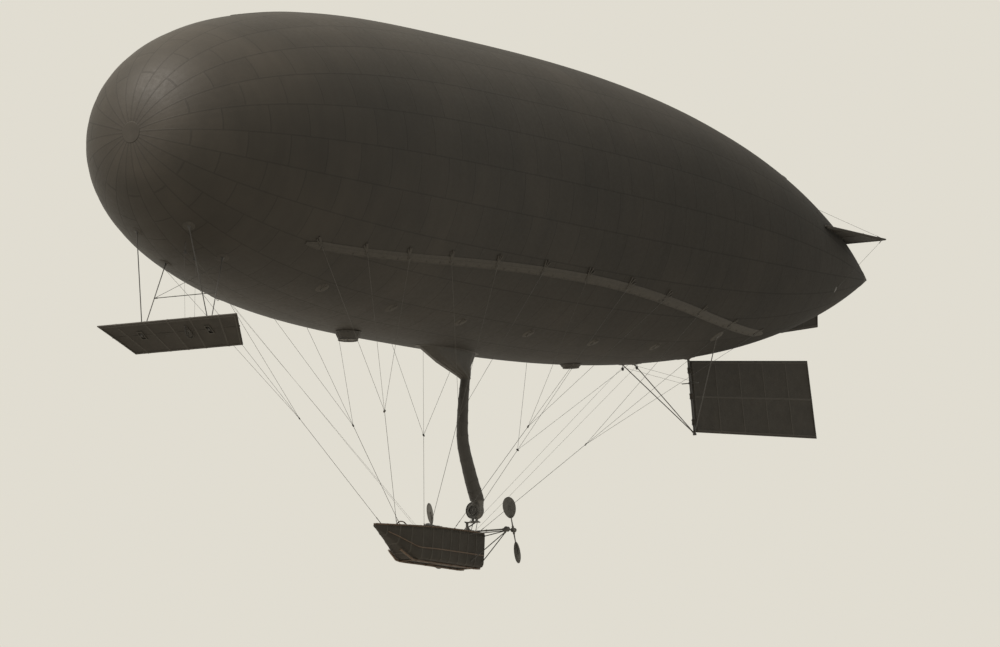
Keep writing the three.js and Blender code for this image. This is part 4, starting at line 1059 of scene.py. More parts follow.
def wheel(bm, centre, axis, radius, thick, spokes):
    across = axis.orthogonal().normalized()
    hoop(bm, centre, axis, radius, thick, 48, 12)
    hoop(bm, centre, axis, radius - thick * 1.2, thick * 0.45, 40, 6)
    for k in range(spokes):
        way = Matrix.Rotation(fullTurn * k / spokes, 3, axis) @ across
        rod(bm, centre + way * 0.02, centre + way * (radius - thick * 0.5), 0.0065, 8, 0.0045)
    turned(bm, [(-0.026, 0.018), (-0.02, 0.030), (0.018, 0.030), (0.022, 0.022), (0.026, 0)], centre, axis,
           20)


controls = {"helm": Vector((2.9, 0, 0.84)), "helmRadius": 0.18, "tilt": 0.35,
            "column": Vector((3.01, 0, 0.24)), "wheel": Vector((2.62, 0.33, 0.76)), "wheelRadius": 0.14,
            "board": (3.16, 0.235, 0.64, 0.86),
            # place across the board and where the hand points
            "dials": ((-0.14, -70), (0, 15), (0.14, 48)), "dialZ": 0.76}


def buildHelm():
    bm = bmesh.new()
    axis = Vector((math.cos(controls["tilt"]), 0, -math.sin(controls["tilt"])))
    hub, foot = controls["helm"], controls["column"]
    wheel(bm, hub, axis, controls["helmRadius"], 0.012, 5)
    tube(bm, [hub, hub + axis * 0.07, foot + axisZ * 0.5, foot + axisZ * 0.38], 0.014, 10)
    turned(bm, [(0, 0.07), (0.008, 0.07), (0.014, 0.034), (0.05, 0.024), (0.34, 0.022), (0.345, 0.030),
                (0.375, 0.030), (0.38, 0.020), (0.52, 0.018), (0.54, 0.0)], foot, axisZ, 24)
    bolts(bm, foot, axisZ, axisX, 0.055, 6, 0.004, 0.016)
    turned(bm, mirrored([(0.006, 0.034), (0.012, 0.052), (0.02, 0.052), (0.02, 0.030)]),
           foot + axisZ * 0.23, axisZ, 24)
    carPiece("helm_wheel", bm, "varnished_wood", stands="helm")


def buildHandWheel():
    bm = bmesh.new()
    centre = controls["wheel"]
    wheel(bm, centre, axisY, controls["wheelRadius"], 0.011, 6)
    rod(bm, centre - axisY * 0.01, centre + axisY * 0.075, 0.016, 12)
    turned(bm, mirrored([(0.005, 0.030), (0.011, 0.046), (0.015, 0.046), (0.015, 0.016)]),
           centre + axisY * 0.045, axisY, 24)
    block(bm, centre + Vector((-0.06, 0.072, -0.06)), centre + Vector((0.06, 0.086, 0.06)), 0.005)
    carPiece("elevator_hand_wheel", bm, "varnished_wood", stands="elevator_wheel")


def buildBoard():
    bm, rims, faces, hands = (bmesh.new() for _ in range(4))
    x, half, low, high = controls["board"]
    block(bm, (x, -half, low), (x + 0.02, half, high), 0.006)
    for y in (-0.205, 0.185):
        block(bm, (x + 0.002, y, low - 0.12), (x + 0.018, y + 0.02, low + 0.02), 0.003)

    def pointing(degrees):
        turn = math.radians(degrees)
        return Vector((0, math.sin(turn), math.cos(turn)))

    for y, degrees in controls["dials"]:
        centre = Vector((x, y, controls["dialZ"]))
        turned(rims, [(0, 0.040), (0, 0.054), (-0.016, 0.056), (-0.022, 0.052), (-0.022, 0.046),
                      (-0.014, 0.044), (0, 0.040)], centre, axisX, 36)
        turned(faces, [(-0.010, 0.045), (-0.005, 0.045)], centre, axisX, 32)
        centre.x -= 0.013
        for tick in range(13):
            way = pointing(-135 + 22.5 * tick)
            rod(hands, centre + way * (0.033 if tick % 3 else 0.029), centre + way * 0.040, 0.0009, 4)
        way = pointing(degrees)
        rod(hands, centre - way * 0.012, centre + way * 0.034, 0.0018, 6, 0.0004)
        ball(hands, centre, 0.0035, 4)
    carPiece("instrument_panel", bm, "varnished_wood", stands="instrument_board", smooth=30)
    carPiece("dial_rims", rims, "brass")
    carPiece("dial_faces", faces, "dial_card", piece)
    carPiece("dial_hands", hands, "black_tube", piece)


buildSeats()
buildHelm()
buildHandWheel()
buildBoard()

print("engine")

engine = {"cylinders": (0.335, 0.49, 0.645, 0.8), "bore": 0.066, "shaft": 0.43, "top": 0.513}


def buildEngine():
    bm, bore = bmesh.new(), engine["bore"]
    block(bm, (0.26, -0.115, 0.425), (0.88, 0.115, 0.515), 0.012)
    turned(bm, mirrored([(0.30, 0.118), (0.31, 0.112), (0.315, 0.05)]), (0.57, 0, 0.405), axisX, 40)
    block(bm, (0.262, -0.138, 0.410), (0.878, 0.138, 0.428), 0.004)
    for i in range(10):
        for y in (0.127, -0.127):
            rod(bm, (0.285 + 0.0635 * i, y, 0.402), (0.285 + 0.0635 * i, y, 0.438), 0.0075, 6)
    for x in (0.3, 0.82):
        block(bm, (x, -0.205, 0.326), (x + 0.05, 0.205, 0.352), 0.006)
    for x in engine["cylinders"]:
        foot = Vector((x, 0, engine["top"]))
        turned(bm, [(0, bore + 0.012), (0.012, bore + 0.012), (0.014, bore - 0.004), (0.075, bore - 0.004),
                    (0.085, bore + 0.004), (0.255, bore + 0.004), (0.262, bore - 0.002),
                    (0.27, bore - 0.002), (0.275, bore + 0.008), (0.30, bore + 0.008),
                    (0.314, bore - 0.006), (0.324, 0.04), (0.326, 0)], foot, axisZ, 32)
        bolts(bm, foot, axisZ, axisX, 0.052, 6, 0.313, 0.327, phase=0.3)
        turned(bm, [(0, 0.012), (0.012, 0.012), (0.016, 0.008), (0.034, 0.006), (0.05, 0.005), (0.052, 0)],
               (x, 0.04, 0.833), axisZ, 10)                       # plug
        for y in (-0.094, -0.112):
            rod(bm, (x - 0.02, y, 0.50), (x - 0.02, y + 0.03, 0.80), 0.0045, 6)
        block(bm, (x - 0.034, -0.115, 0.795), (x - 0.008, -0.02, 0.815), 0.004)
    carPiece("engine_block", bm, "engine_iron", stands="engine", smooth=35)


# inlet, water and fuel pipes with the carburettor, and the leads of the magneto
pipes = [([(0.33, 0.085, 0.73), (0.42, 0.12, 0.70), (0.57, 0.13, 0.69), (0.72, 0.12, 0.70),
           (0.80, 0.085, 0.73)], 0.019, 12),
         ([(0.34, 0, 0.862), (0.50, 0, 0.874), (0.66, 0, 0.878), (0.84, 0, 0.876), (0.97, 0, 0.84),
           (1.045, 0, 0.752)], 0.017, 12),
         ([(0.88, 0.05, 0.47), (0.95, 0.07, 0.40), (1.0, 0.08, 0.25), (1.04, 0.08, 0.18)], 0.015, 10),
         ([(1.24, 0.16, 0.72), (1.24, 0.17, 0.60), (1.12, 0.25, 0.50), (0.96, 0.24, 0.47),
           (0.75, 0.20, 0.49), (0.66, 0.16, 0.54)], 0.006, 8)]


def buildPipes():
    bm = bmesh.new()
    for route in pipes:
        tube(bm, *route)
    for x in engine["cylinders"][1:3]:
        tube(bm, [(x, 0.06, 0.74), (x, 0.10, 0.72), (x + 0.03, 0.128, 0.695)], 0.017, 10)
    turned(bm, [(-0.09, 0.026), (-0.03, 0.026), (-0.025, 0.034), (0.03, 0.034), (0.036, 0.022),
                (0.07, 0.022)], (0.62, 0.145, 0.62), axisZ, 24)
    turned(bm, [(0, 0.03), (0.004, 0.036), (0.055, 0.036), (0.06, 0.02)], (0.575, 0.145, 0.60), -axisX, 20)
    for x in engine["cylinders"]:
        rod(bm, (x, 0, 0.835), (x, 0, 0.868), 0.014, 12)
    carPiece("engine_pipes", bm, "brass")
    bm = bmesh.new()
    turned(bm, [(0, 0.056), (0.012, 0.06), (0.05, 0.06), (0.062, 0.052), (0.066, 0)], (0.86, -0.17, 0.505),
           axisX, 28)
    for k, x in enumerate(engine["cylinders"]):
        tube(bm, [(0.925, -0.17 + 0.014 * math.cos(k * 1.6), 0.505 + 0.03 * math.sin(k * 1.6)),
                  (0.955, -0.15, 0.60 + 0.02 * k), (0.90, -0.09 + 0.012 * k, 0.86),
                  ((x + 0.9) / 2 + 0.05, 0.01, 0.905), (x + 0.01, 0.036, 0.892)], 0.0038, 6)
    carPiece("engine_leads", bm, "black_tube")


# the bearers under the engine, and the flywheel
def buildBed():
    bm = bmesh.new()
    for y in (-0.165, 0.165):
        rail(bm, [Vector((x, y, 0.294)) for x in (0.12, 0.4, 0.7, 1.0)], 0.05, 0.06, 0.25)
    for x in (0.18, 0.9):
        block(bm, (x, -0.2, 0.213), (x + 0.05, 0.2, 0.263), 0.005)
        for y in (-0.19, 0.14):
            block(bm, (x, y, 0.075), (x + 0.05, y + 0.05, 0.214), 0.005)
    carPiece("engine_bed", bm, "varnished_wood", stands="engine_bearers", smooth=30)
    bm = bmesh.new()
    turned(bm, [(-0.023, 0.128), (-0.023, 0.152), (-0.018, 0.157), (0.018, 0.157), (0.023, 0.152),
                (0.023, 0.128), (0.008, 0.122), (0.007, 0.06), (0.014, 0.052), (0.05, 0.048), (0.052, 0.0),
                (-0.042, 0.0), (-0.040, 0.05), (-0.014, 0.052), (-0.007, 0.06), (-0.008, 0.122),
                (-0.023, 0.128)], (0.202, 0, engine["shaft"]), axisX, 48)
    carPiece("flywheel_disc", bm, "engine_iron", stands="flywheel", smooth=35)


radiator = {"x": 1.06, "low": 0.13, "high": 0.70, "bars": 23, "fins": 27}


def buildRadiator():
    bm = bmesh.new()
    x, low, high, bars, fins = radiator.values()
    block(bm, (1.025, -0.25, 0.692), (1.095, 0.25, 0.75), 0.016)
    block(bm, (1.025, -0.25, 0.076), (1.095, 0.25, 0.138), 0.012)
    for y in (-0.243, 0.243):
        block(bm, (x - 0.03, y - 0.006, low), (x + 0.03, y + 0.006, high), 0.003)
    turned(bm, [(0, 0.030), (0.006, 0.034), (0.016, 0.034), (0.02, 0.024), (0.026, 0)], (x, -0.15, 0.75),
           axisZ, 20)
    for i in range(bars):
        y = -0.23 + 0.46 * i / (bars - 1)
        rod(bm, (x, y, low), (x, y, high), 0.0042, 6)
    for i in range(fins):
        z = 0.145 + 0.54 * i / (fins - 1)
        block(bm, (x - 0.016, -0.238, z - 0.0008), (x + 0.016, 0.238, z + 0.0008))
    carPiece("radiator_core", bm, "brass", stands="radiator", smooth=30)


tank = {"centre": Vector((1.24, 0, 0.83)), "radius": 0.117, "half": 0.30}


def buildTank():
    bm, centre, r, half = bmesh.new(), *tank.values()
    turned(bm, mirrored([(0.168, r), (0.17, r + 0.0025), (0.198, r + 0.0025), (0.20, r),
                         (half - 0.025, r - 0.001), (half - 0.012, r - 0.012), (half - 0.002, 0.07),
                         (half, 0)]), centre, axisY, 48)
    turned(bm, [(0.11, 0.034), (0.122, 0.034), (0.124, 0.028), (0.13, 0.032), (0.138, 0.032), (0.142, 0.012)],
           centre, axisZ, 24)
    turned(bm, [(-0.135, 0.008), (-0.118, 0.010), (-0.112, 0.016)], centre + axisY * 0.2, axisZ, 12)
    for y in (-0.23, 0.2):
        for x in (1.185, 1.275):
            block(bm, (x, y, 0.075), (x + 0.02, y + 0.03, 0.735), 0.003)
        block(bm, (1.185, y, 0.695), (1.295, y + 0.03, 0.715), 0.003)
    carPiece("fuel_drum", bm, "brass", stands="fuel_tank", smooth=35)


silencer = {"y": -0.66, "z": 1.09, "from": 0.12, "to": 0.9, "radius": 0.076,
            "route": [(0.3, -0.13, 0.75), (0.56, -0.14, 0.76), (0.86, -0.15, 0.77), (0.98, -0.23, 0.85),
                      (1.01, -0.38, 1.09), (0.95, -0.56, 1.14), (0.87, -0.65, 1.1), (0.8, -0.66, 1.09)]}


def buildExhaust():
    bm = bmesh.new()
    y, z, low, high, r, route = silencer.values()
    tube(bm, [through(route, i / 40) for i in range(41)], 0.029, 16, smooth=False)
    for x in engine["cylinders"]:
        tube(bm, [(x, -0.068, 0.742), (x, -0.10, 0.75), (x + 0.01, -0.135, 0.756)], 0.020, 12)
        turned(bm, [(0, 0.02), (0, 0.032), (0.008, 0.032), (0.008, 0.02)], (x, -0.070, 0.742), -axisY, 12)
    turned(bm, [(low, 0.027), (low + 0.012, 0.06), (low + 0.022, r), (low + 0.03, r),
                (low + 0.032, r - 0.003), (high - 0.032, r - 0.003), (high - 0.03, r), (high - 0.022, r),
                (high - 0.012, 0.06), (high, 0.02)], (0, y, z), axisX, 32)
    for x in (0.30, 0.51, 0.72):
        turned(bm, [(x, r - 0.003), (x, r + 0.002), (x + 0.014, r + 0.002), (x + 0.014, r - 0.003)],
               (0, y, z), axisX, 32)
    turned(bm, [(0.06, 0), (0.06, 0.021), (-0.02, 0.021), (-0.02, 0.026), (low, 0.026), (low + 0.01, 0.03)],
           (0, y, z), axisX, 20)
    for x in (0.25, 0.78):                       # two hangers from the rail
        tube(bm, [(x, y, z + r + 0.004), (x, y + 0.045, z + 0.045), (x, y + 0.10, z - 0.06),
                  rimPoint(x, -1)], 0.006, 8)
    carPiece("exhaust_pipe", bm, "black_tube", stands="exhaust")


drive = {"x": -0.15, "z": 0.99, "shaft": 0.43, "tower": 1.25, "tube": 0.022, "reach": 1.245}


def buildTransmission():
    bm = bmesh.new()
    x, z, low, tower, pipe, reach = drive.values()
    turned(bm, [(-0.23, 0.05), (-0.222, 0.09), (-0.21, 0.104), (-0.19, 0.108), (-0.18, 0.096), (-0.11, 0.096),
                (-0.10, 0.108), (-0.08, 0.104), (-0.068, 0.09), (-0.06, 0.045), (-0.03, 0.032), (0.10, 0.026),
                (0.104, 0.038), (0.118, 0.038), (0.122, 0.026), (0.158, 0.026)], (0, 0, low), axisX, 36)
    turned(bm, [(low, 0.05), (low + 0.11, 0.058), (low + 0.115, 0.066), (low + 0.13, 0.066),
                (low + 0.135, 0.040), (z - 0.12, 0.037), (z - 0.115, 0.06), (z - 0.10, 0.064),
                (z - 0.07, 0.092), (z, 0.106), (z + 0.07, 0.090), (z + 0.10, 0.06), (z + 0.115, 0.056),
                (z + 0.12, 0.036), (tower - 0.02, 0.036), (tower - 0.016, 0.055), (tower, 0.06)],
           (x, 0, 0), axisZ, 36)
    for side in (1, -1):
        turned(bm, [(0.05, 0.05), (0.10, 0.05), (0.112, 0.062), (0.124, 0.062), (0.128, pipe),
                    (0.62, pipe), (0.624, 0.030), (0.66, 0.030), (0.664, pipe), (reach - 0.06, pipe),
                    (reach - 0.055, 0.034), (reach, 0.036)], (x, 0, z), axisY * side, 24)
        rod(bm, (x, side * 0.05, low), (x, side * 0.17, 0.09), 0.018, 12)
    for spot in (-0.185, -0.105):
        bolts(bm, (spot, 0, low), axisX, axisY, 0.101, 10, -0.008, 0.008)
    block(bm, (-0.4, -0.06, tower), (-0.1, 0.27, tower + 0.012), 0.004)
    for y in (-0.056, 0.254):
        block(bm, (-0.4, y, tower), (-0.1, y + 0.012, tower + 0.028), 0.003)
    rod(bm, (x, 0, 1.10), (-0.33, 0.15, tower + 0.006), 0.016, 12)
    block(bm, (x - 0.04, -0.215, 0.075), (x + 0.04, 0.215, 0.103), 0.006)
    carPiece("drive_case", bm, "dull_aluminium", stands="transmission")


blower = {"x": (-0.4, -0.2), "y": 0.15, "z": 1.58, "radius": 0.227, "outlet": (0.150, 0.385), "throat": 0.094,
          "flange": Vector((-0.27, 0.25, 1.859)), "flangeRadius": 0.195, "feet": (0.05, 0.25), "plate": 1.279}
belt = {"x": -0.432, "low": 0.072, "high": 0.055, "thick": 0.005, "half": 0.011, "gap": 0.0004}


# the neck of the blower: from the square throat of the fan case to the round flange
def neckRing(t):
    square, part, flange = 1 - t ** 1.5, t ** 2.2, blower["flange"]
    (low, high), (left, right) = blower["x"], blower["outlet"]
    end = blower["flangeRadius"] * 0.93
    middle = Vector(((low + high) / 2, (left + right) / 2, 0)).lerp(Vector((*flange[:2], 0)), part)
    half = Vector((blower["throat"], (right - left) / 2)).lerp(Vector((end, end)), part)
    middle.z, ring = blower["z"] + (flange.z - 0.012 - blower["z"]) * t, []
    for k in range(40):
        way = Vector((math.cos(math.pi * (k + 0.5) / 20), math.sin(math.pi * (k + 0.5) / 20)))
        size = square / max(abs(way.x), abs(way.y)) + 1 - square
        across, along = (length * min(1.0, max(-1.0, turn * size)) for length, turn in zip(half, way))
        ring.append(middle + Vector((across, along, 0)))
    return ring


def buildBlower():
    bm = bmesh.new()
    (low, high), y, z, r = blower["x"], blower["y"], blower["z"], blower["radius"]
    centre, flange, flangeRadius = Vector((0, y, z)), blower["flange"], blower["flangeRadius"]
    turned(bm, [(low + 0.004, 0.10), (low + 0.012, 0.12), (low + 0.014, r - 0.03), (low + 0.02, r - 0.006),
                (low, r - 0.004), (low, r + 0.008), (low + 0.012, r + 0.008), (low + 0.016, r),
                (high - 0.016, r), (high - 0.012, r + 0.008), (high, r + 0.008), (high, r - 0.004),
                (high - 0.02, r - 0.006), (high - 0.014, r - 0.03), (high - 0.012, 0.14), (high, 0.13),
                (high + 0.02, 0.135), (high + 0.038, 0.13), (high + 0.036, 0.118), (high + 0.01, 0.112),
                (high - 0.01, 0.11), (high - 0.012, 0.03), (high + 0.012, 0.028), (high + 0.014, 0)],
           centre, axisX, 56)
    for k in range(12):                         # grille over the inlet
        way = Matrix.Rotation(fullTurn * k / 12, 3, "X") @ axisY
        rod(bm, centre + axisX * (high + 0.014) + way * 0.024,
            centre + axisX * (high + 0.024) + way * 0.122, 0.0035, 6)
    for radius in (0.055, 0.09):
        hoop(bm, centre + axisX * (high + 0.02), axisX, radius, 0.003, 40, 6)
    for x in (low + 0.004, high - 0.006):
        bolts(bm, centre, axisX, axisY, r, 16, x - 0.008, x + 0.010, 0.005, 0.1)
    loft(bm, [neckRing(i / 14) for i in range(15)])
    turned(bm, [(-0.024, flangeRadius * 0.9), (-0.020, flangeRadius - 0.004), (-0.012, flangeRadius),
                (-0.004, flangeRadius), (0, flangeRadius - 0.006)], flange, axisZ, 48)
    bolts(bm, flange, axisZ, axisX, flangeRadius - 0.012, 12, -0.034, -0.020)
    (near, far), plate = blower["feet"], blower["plate"]
    block(bm, (low + 0.02, near, plate), (high - 0.02, far, plate + 0.012), 0.003)
    for y in (near + 0.03, far - 0.045):
        loft(bm, [[(x, y + a, h) for x, h in ((low + 0.035, plate + 0.01), (high - 0.035, plate + 0.01),
                                              (high - 0.07, plate + 0.092), (low + 0.07, plate + 0.092))]
                  for a in (0.0, 0.012)])
    for y in (near + 0.012, far - 0.012):
        for x in (low + 0.05, high - 0.05):
            rod(bm, (x, y, plate + 0.012), (x, y, plate + 0.022), 0.008, 6)
    lowHub, highHub = Vector((belt["x"], 0, drive["z"])), centre + axisX * belt["x"]
    for hub, radius, reach in ((lowHub, belt["low"], 0.24), (highHub, belt["high"], 0.05)):
        turned(bm, [(-0.020, 0.014), (-0.018, radius), (-0.014, radius + 0.004), (-0.012, radius),
                    (0.012, radius), (0.014, radius + 0.004), (0.018, radius), (0.020, 0.020),
                    (0.020, 0.014), (reach, 0.014)], hub, axisX, 40)
    carPiece("blower_case", bm, "dull_aluminium", stands="blower")
    bm, way, loop = bmesh.new(), highHub - lowHub, []
    lean, spread = math.atan2(way.z, way.y), math.acos((belt["low"] - belt["high"]) / way.length)
    for hub, radius, start, end in ((highHub, belt["high"], lean - spread, lean + spread),
                                    (lowHub, belt["low"], lean + spread, lean - spread + fullTurn)):
        for i in range(17):
            out = Matrix.Rotation(start + (end - start) * i / 16, 3, "X") @ axisY
            near, half = hub + out * (radius + belt["gap"]), axisX * belt["half"]
            far = near + out * belt["thick"]
            loop.append([near - half, far - half, far + half, near + half])
    loft(bm, loop + loop[:1], caps=False)
    carPiece("blower_belt", bm, "webbing", smooth=30)


buildEngine()
buildPipes()
buildBed()
buildRadiator()
buildTank()
buildExhaust()
buildTransmission()
buildBlower()

print("hangers, valves and patches")


# a round canvas patch pressed onto the hull, with a scalloped edge
def padOnHull(bm, x, degrees, radius, height=0.018, scallops=12):
    centre, normal = onHull(x, degrees), hullNormal(x, degrees)
    across = normal.orthogonal().normalized()
    other = normal.cross(across)

    def place(u, v):
        turn = fullTurn * u
        reach = radius * v * (1 + 0.045 * v * math.cos(turn * scallops))
        spot = centre + (across * math.cos(turn) + other * math.sin(turn)) * reach
        return pressed(spot, height * (1.0 if v < 0.6 else 0.75) if v < 0.95 else -0.006)

    skin(bm, place, 72, 8)


# a patch with a bolted plate in its middle
def footOnHull(plates, cloth, x, degrees, pad, radius, height):
    padOnHull(cloth, x, degrees, pad)
    point, normal = onHull(x, degrees, 0.012), hullNormal(x, degrees)
    turned(plates, [(0, radius), (height * 0.7, radius), (height, radius * 0.86)], point, normal, 24)
    bolts(plates, point, normal, normal.orthogonal().normalized(), radius * 0.68, 6, 0, height + 0.007)


# a strut with a turned socket at each end
def strutBetween(bm, start, end, radius):
    way = (end - start).normalized()
    rod(bm, start, end, radius, 14)
    for point, line in ((start, way), (end, -way)):
        turned(bm, [(0.0, radius * 1.5), (0.02, radius * 1.7), (0.09, radius * 1.7), (0.11, radius * 1.25),
                    (0.13, radius * 1.0)], point, line, 14)
    if (end - start).length > 1.5:
        for part in (0.33, 0.66):
            hoop(bm, start.lerp(end, part), way, radius + 0.002, 0.003, 14, 5)


hangers = {"strut": 0.0135, "post": 0.036, "head": 0.26, "washer": 0.055,
           # place down the post, place along the hull, angle round it, pad radius
           "postStruts": [(2.077, -6.9, -55, 0.23), (2.077, -6.9, -125, 0.23), (2.077, -5.6, -90, 0.23),
                          (-0.04, -7.3, -75, 0.13), (-0.04, -7.3, -105, 0.13)],
           "postHead": (-8.3, -90, 0.26),
           "lugStruts": [(14.9, -73, 0.19), (16.3, -70, 0.17)],
           "lugHalf": 0.036, "lugWall": 0.026, "lugGap": 0.004}


# a strut from a point outside the hull to its fabric: where it ends
def strutEnd(start, x, degrees):
    inside = onHull(x, degrees, -0.04)
    return hullHit(lambda t: inside.lerp(start, t), 1.0, 24)


def buildHangers():
    steel, cloth, ties = bmesh.new(), bmesh.new(), []
    top, foot = rudder["top"], rudder["foot"]
    line, length, r = (foot - top).normalized(), (foot - top).length, hangers["post"]
    profile = [(-hangers["head"], r)]
    for part in rudder["sleeves"]:
        for low in (length * part - 0.096, length * part + 0.080):
            profile += [(low, r), (low + 0.001, r + 0.014), (low + 0.015, r + 0.014), (low + 0.016, r)]
    profile += [(length + 0.03, r), (length + 0.034, r + 0.016), (length + 0.08, r + 0.016),
                (length + 0.09, r + 0.006)]
    turned(steel, profile, top, line, 28)
    for down, x, degrees, pad in hangers["postStruts"]:
        start = top + line * down
        end = strutEnd(start, x, degrees)
        strutBetween(steel, start, end + (end - start).normalized() * 0.012, hangers["strut"])
        footOnHull(steel, cloth, end.x, angleOf(end), pad, hangers["washer"], 0.014)
    footOnHull(steel, cloth, *hangers["postHead"], 0.10, 0.016)
    dress("rudder_hanger_tubes", steel, "black_tube", stands="rudder_hanger")
    steel = bmesh.new()
    wall, half, bore = hangers["lugWall"] + 0.03, hangers["lugHalf"], 0.03 + hangers["lugGap"]
    for side in (1, -1):
        lug = elevator["hinge"] + axisY * side * planes["lug"]
        turned(steel, mirrored([(half - 0.015, wall - 0.008), (half - 0.012, wall), (half - 0.004, wall),
                                (half, wall - 0.006), (half, bore)]) + [(-half, bore)], lug, axisY, 32)
        for x, portDegrees, pad in hangers["lugStruts"]:
            degrees = portDegrees if side > 0 else -180 - portDegrees
            end, inside = strutEnd(lug, x, degrees), onHull(x, degrees, -0.04)
            way = (end - lug).normalized()
            strutBetween(steel, lug + way * 0.045, end + way * 0.012, hangers["strut"])
            footOnHull(steel, cloth, end.x, angleOf(end), pad, hangers["washer"], 0.014)
            if x < lug.x:
                ties += [lug.lerp(inside, 0.5), lug.lerp(inside, 0.9)]
    strutBetween(steel, ties[0], ties[2], 0.011)
    rod(steel, ties[0], ties[3], 0.006, 10)
    rod(steel, ties[1], ties[2], 0.006, 10)
    dress("elevator_hanger_tubes", steel, "black_tube", stands="elevator_hanger")
    dress("hanger_patches", cloth, "webbing", smooth=50)


buildHangers()

valves = {"gas": (1.5, 90, 0.42),
          "belly": [("belly_valve_fore", 8.0, 0.36, 0.24), ("belly_valve_aft", -2.54, 0.30, 0.12)]}


def buildGasValve():
    bm = bmesh.new()
    x, degrees, radius = valves["gas"]
    seat, up = onHull(x, degrees), hullNormal(x, degrees)
    turned(bm, [(-0.02, radius), (0.016, radius), (0.024, radius - 0.012), (0.024, radius - 0.055),
                (0.034, radius - 0.065), (0.048, radius - 0.068), (0.052, radius - 0.08),
                (0.046, radius - 0.092), (0.034, radius - 0.095), (0.030, radius - 0.11),
                (0.036, radius - 0.16), (0.044, 0.12), (0.05, 0.0)], seat, up, 64)
    bolts(bm, seat, up, axisX, radius - 0.032, 24, 0.018, 0.034, 0.009)
    for k in range(4):                           # arms that carry the spindle
        way = Matrix.Rotation(fullTurn * k / 4 + 0.4, 3, up) @ axisX
        tube(bm, [seat + way * out + up * lift for out, lift in
                  ((radius - 0.05, 0.024), (radius - 0.10, 0.085), (0.16, 0.100), (0.03, 0.098))], 0.010, 8)
    turned(bm, [(0.045, 0.022), (0.09, 0.022), (0.092, 0.05), (0.108, 0.05), (0.11, 0.0)], seat, up, 24)
    dress("gas_valve_dome", bm, "dull_aluminium", stands="gas_valve")


def buildBellyValve(name, x, radius, height):
    bm, metal = bmesh.new(), bmesh.new()
    seat, down = onHull(x, -90), hullNormal(x, -90)
    across = (axisX - down * down.x).normalized()
    other = down.cross(across)

    def place(u, v):
        turn, t = fullTurn * u, max(0.0, (v - 0.14) / 0.86)
        along = 0.004 + 0.012 * min(1.0, v / 0.14) + (height - 0.03) * t
        out = radius * (1 - 0.05 * min(1.0, v / 0.14) - 0.21 * t * t * (3 - 2 * t))
        out += 0.008 * math.sin(turn * 18) * math.sin(math.pi * v)
        return seat + (across * math.cos(turn) + other * math.sin(turn)) * out + down * along

    skin(bm, place, 108, 14)
    ring = radius * 0.735
    hoop(metal, seat + down * (height - 0.014), down, ring, 0.012, 48)
    turned(metal, [(height - 0.028, ring), (height - 0.026, 0.05), (height - 0.018, 0.045)], seat, down, 40)
    for k in range(3):
        way = Matrix.Rotation(fullTurn * k / 3, 3, down) @ across
        rod(metal, seat + way * ring + down * (height - 0.012), seat + down * (height - 0.006), 0.006, 8)
    dress(f"{name}_sleeve", bm, "canvas_air", stands=name, smooth=60)
    piece(f"{name}_ring", metal, "dull_aluminium")


buildGasValve()
for valve in valves["belly"]:
    buildBellyValve(*valve)

handling = {"places": (-4.2, -1.0, 2.2, 5.4, 8.6, 11.6), "angle": -64, "pad": 0.20}
ripPanel = {"from": 7.6, "to": 13.2, "half": 0.30, "angle": 90, "edge": 0.05}
endCaps = {"tips": ((17.7, 0.006), (-17.7, -0.62)), "lift": 0.007, "steps": 16}


def buildPatches():
    bm, metal = bmesh.new(), bmesh.new()
    for x in handling["places"]:
        for degrees in (handling["angle"], -180 - handling["angle"]):
            centre, normal = onHull(x, degrees), hullNormal(x, degrees)
            down = -(axisZ - axisZ.project(normal)).normalized()
            padOnHull(bm, x, degrees, handling["pad"], 0.012)
            fingers(bm, centre + down * 0.04, -down, normal, 24, 0.21, 0.040, 0.021, 0.6)
            hoop(metal, centre + down * 0.06 + normal * 0.028, normal.cross(down) * 0.6 + normal * 0.8,
                 0.032, 0.006, 20, 6)
    rings, angle = [], ripPanel["angle"]
    for i in range(41):
        t = i / 40
        x = ripPanel["from"] + (ripPanel["to"] - ripPanel["from"]) * t
        half = ripPanel["half"] * min(1.0, math.sqrt(max(0.0, 1 - (2 * t - 1) ** 8)) + 0.02)
        wide, edge = (math.degrees(length / hullRadius(x)) for length in (half, ripPanel["edge"]))
        rings.append([onHull(x, angle + a, h) for a, h in
                      mirrored([(0, 0.010), (wide - edge, 0.010), (wide, 0.013), (wide + edge, 0.010),
                                (wide + edge, -0.02)])])
    loft(bm, rings)
    dress("handling_patches", bm, "webbing", smooth=50)
    dress("patch_rings", metal, "steel_wire")


# a cap sewn over each end of the gores
def buildEndCaps():
    bm, steps = bmesh.new(), endCaps["steps"]
    for tip, reach in endCaps["tips"]:
        lift, profile = math.copysign(endCaps["lift"], reach), []
        for i in range(steps + 1):
            x = tip - reach * (i / steps) ** 2
            profile.append((x + (-lift if i == steps else lift), hullRadius(x) + 0.005 * (0 < i < steps)))
        turned(bm, profile, (0, 0, 0), axisX, 64)
    dress("end_caps", bm, "dark_canvas", smooth=60)


buildPatches()
buildEndCaps()

print("control cables and bracing")

cables = {"wire": 0.0035, "quadrant": 0.24, "place": 0.318, "wheel": 0.20, "wheelY": 0.45, "sheave": 0.05,
          "bellyPulley": (-5.45, 0.24, -3.84), "sternPulley": (2.312, 0.15, -9.165), "sternSheave": 0.03,
          "bowPulleys": [(15.90, -2.99), (15.50, -3.14)], "drum": Vector((5.22, 0.375, -9.37)),
          "drumRadius": 0.030}
# end on the tail plane, then place along the hull and angle round it
braces = [((-15.40, 2.03, 0.80), (-13.6, 62)), ((-15.40, 2.03, 0.76), (-13.6, -28)), ((-12.45, 2.15, 0.80),
                                                                                      (-10.9, 52))]


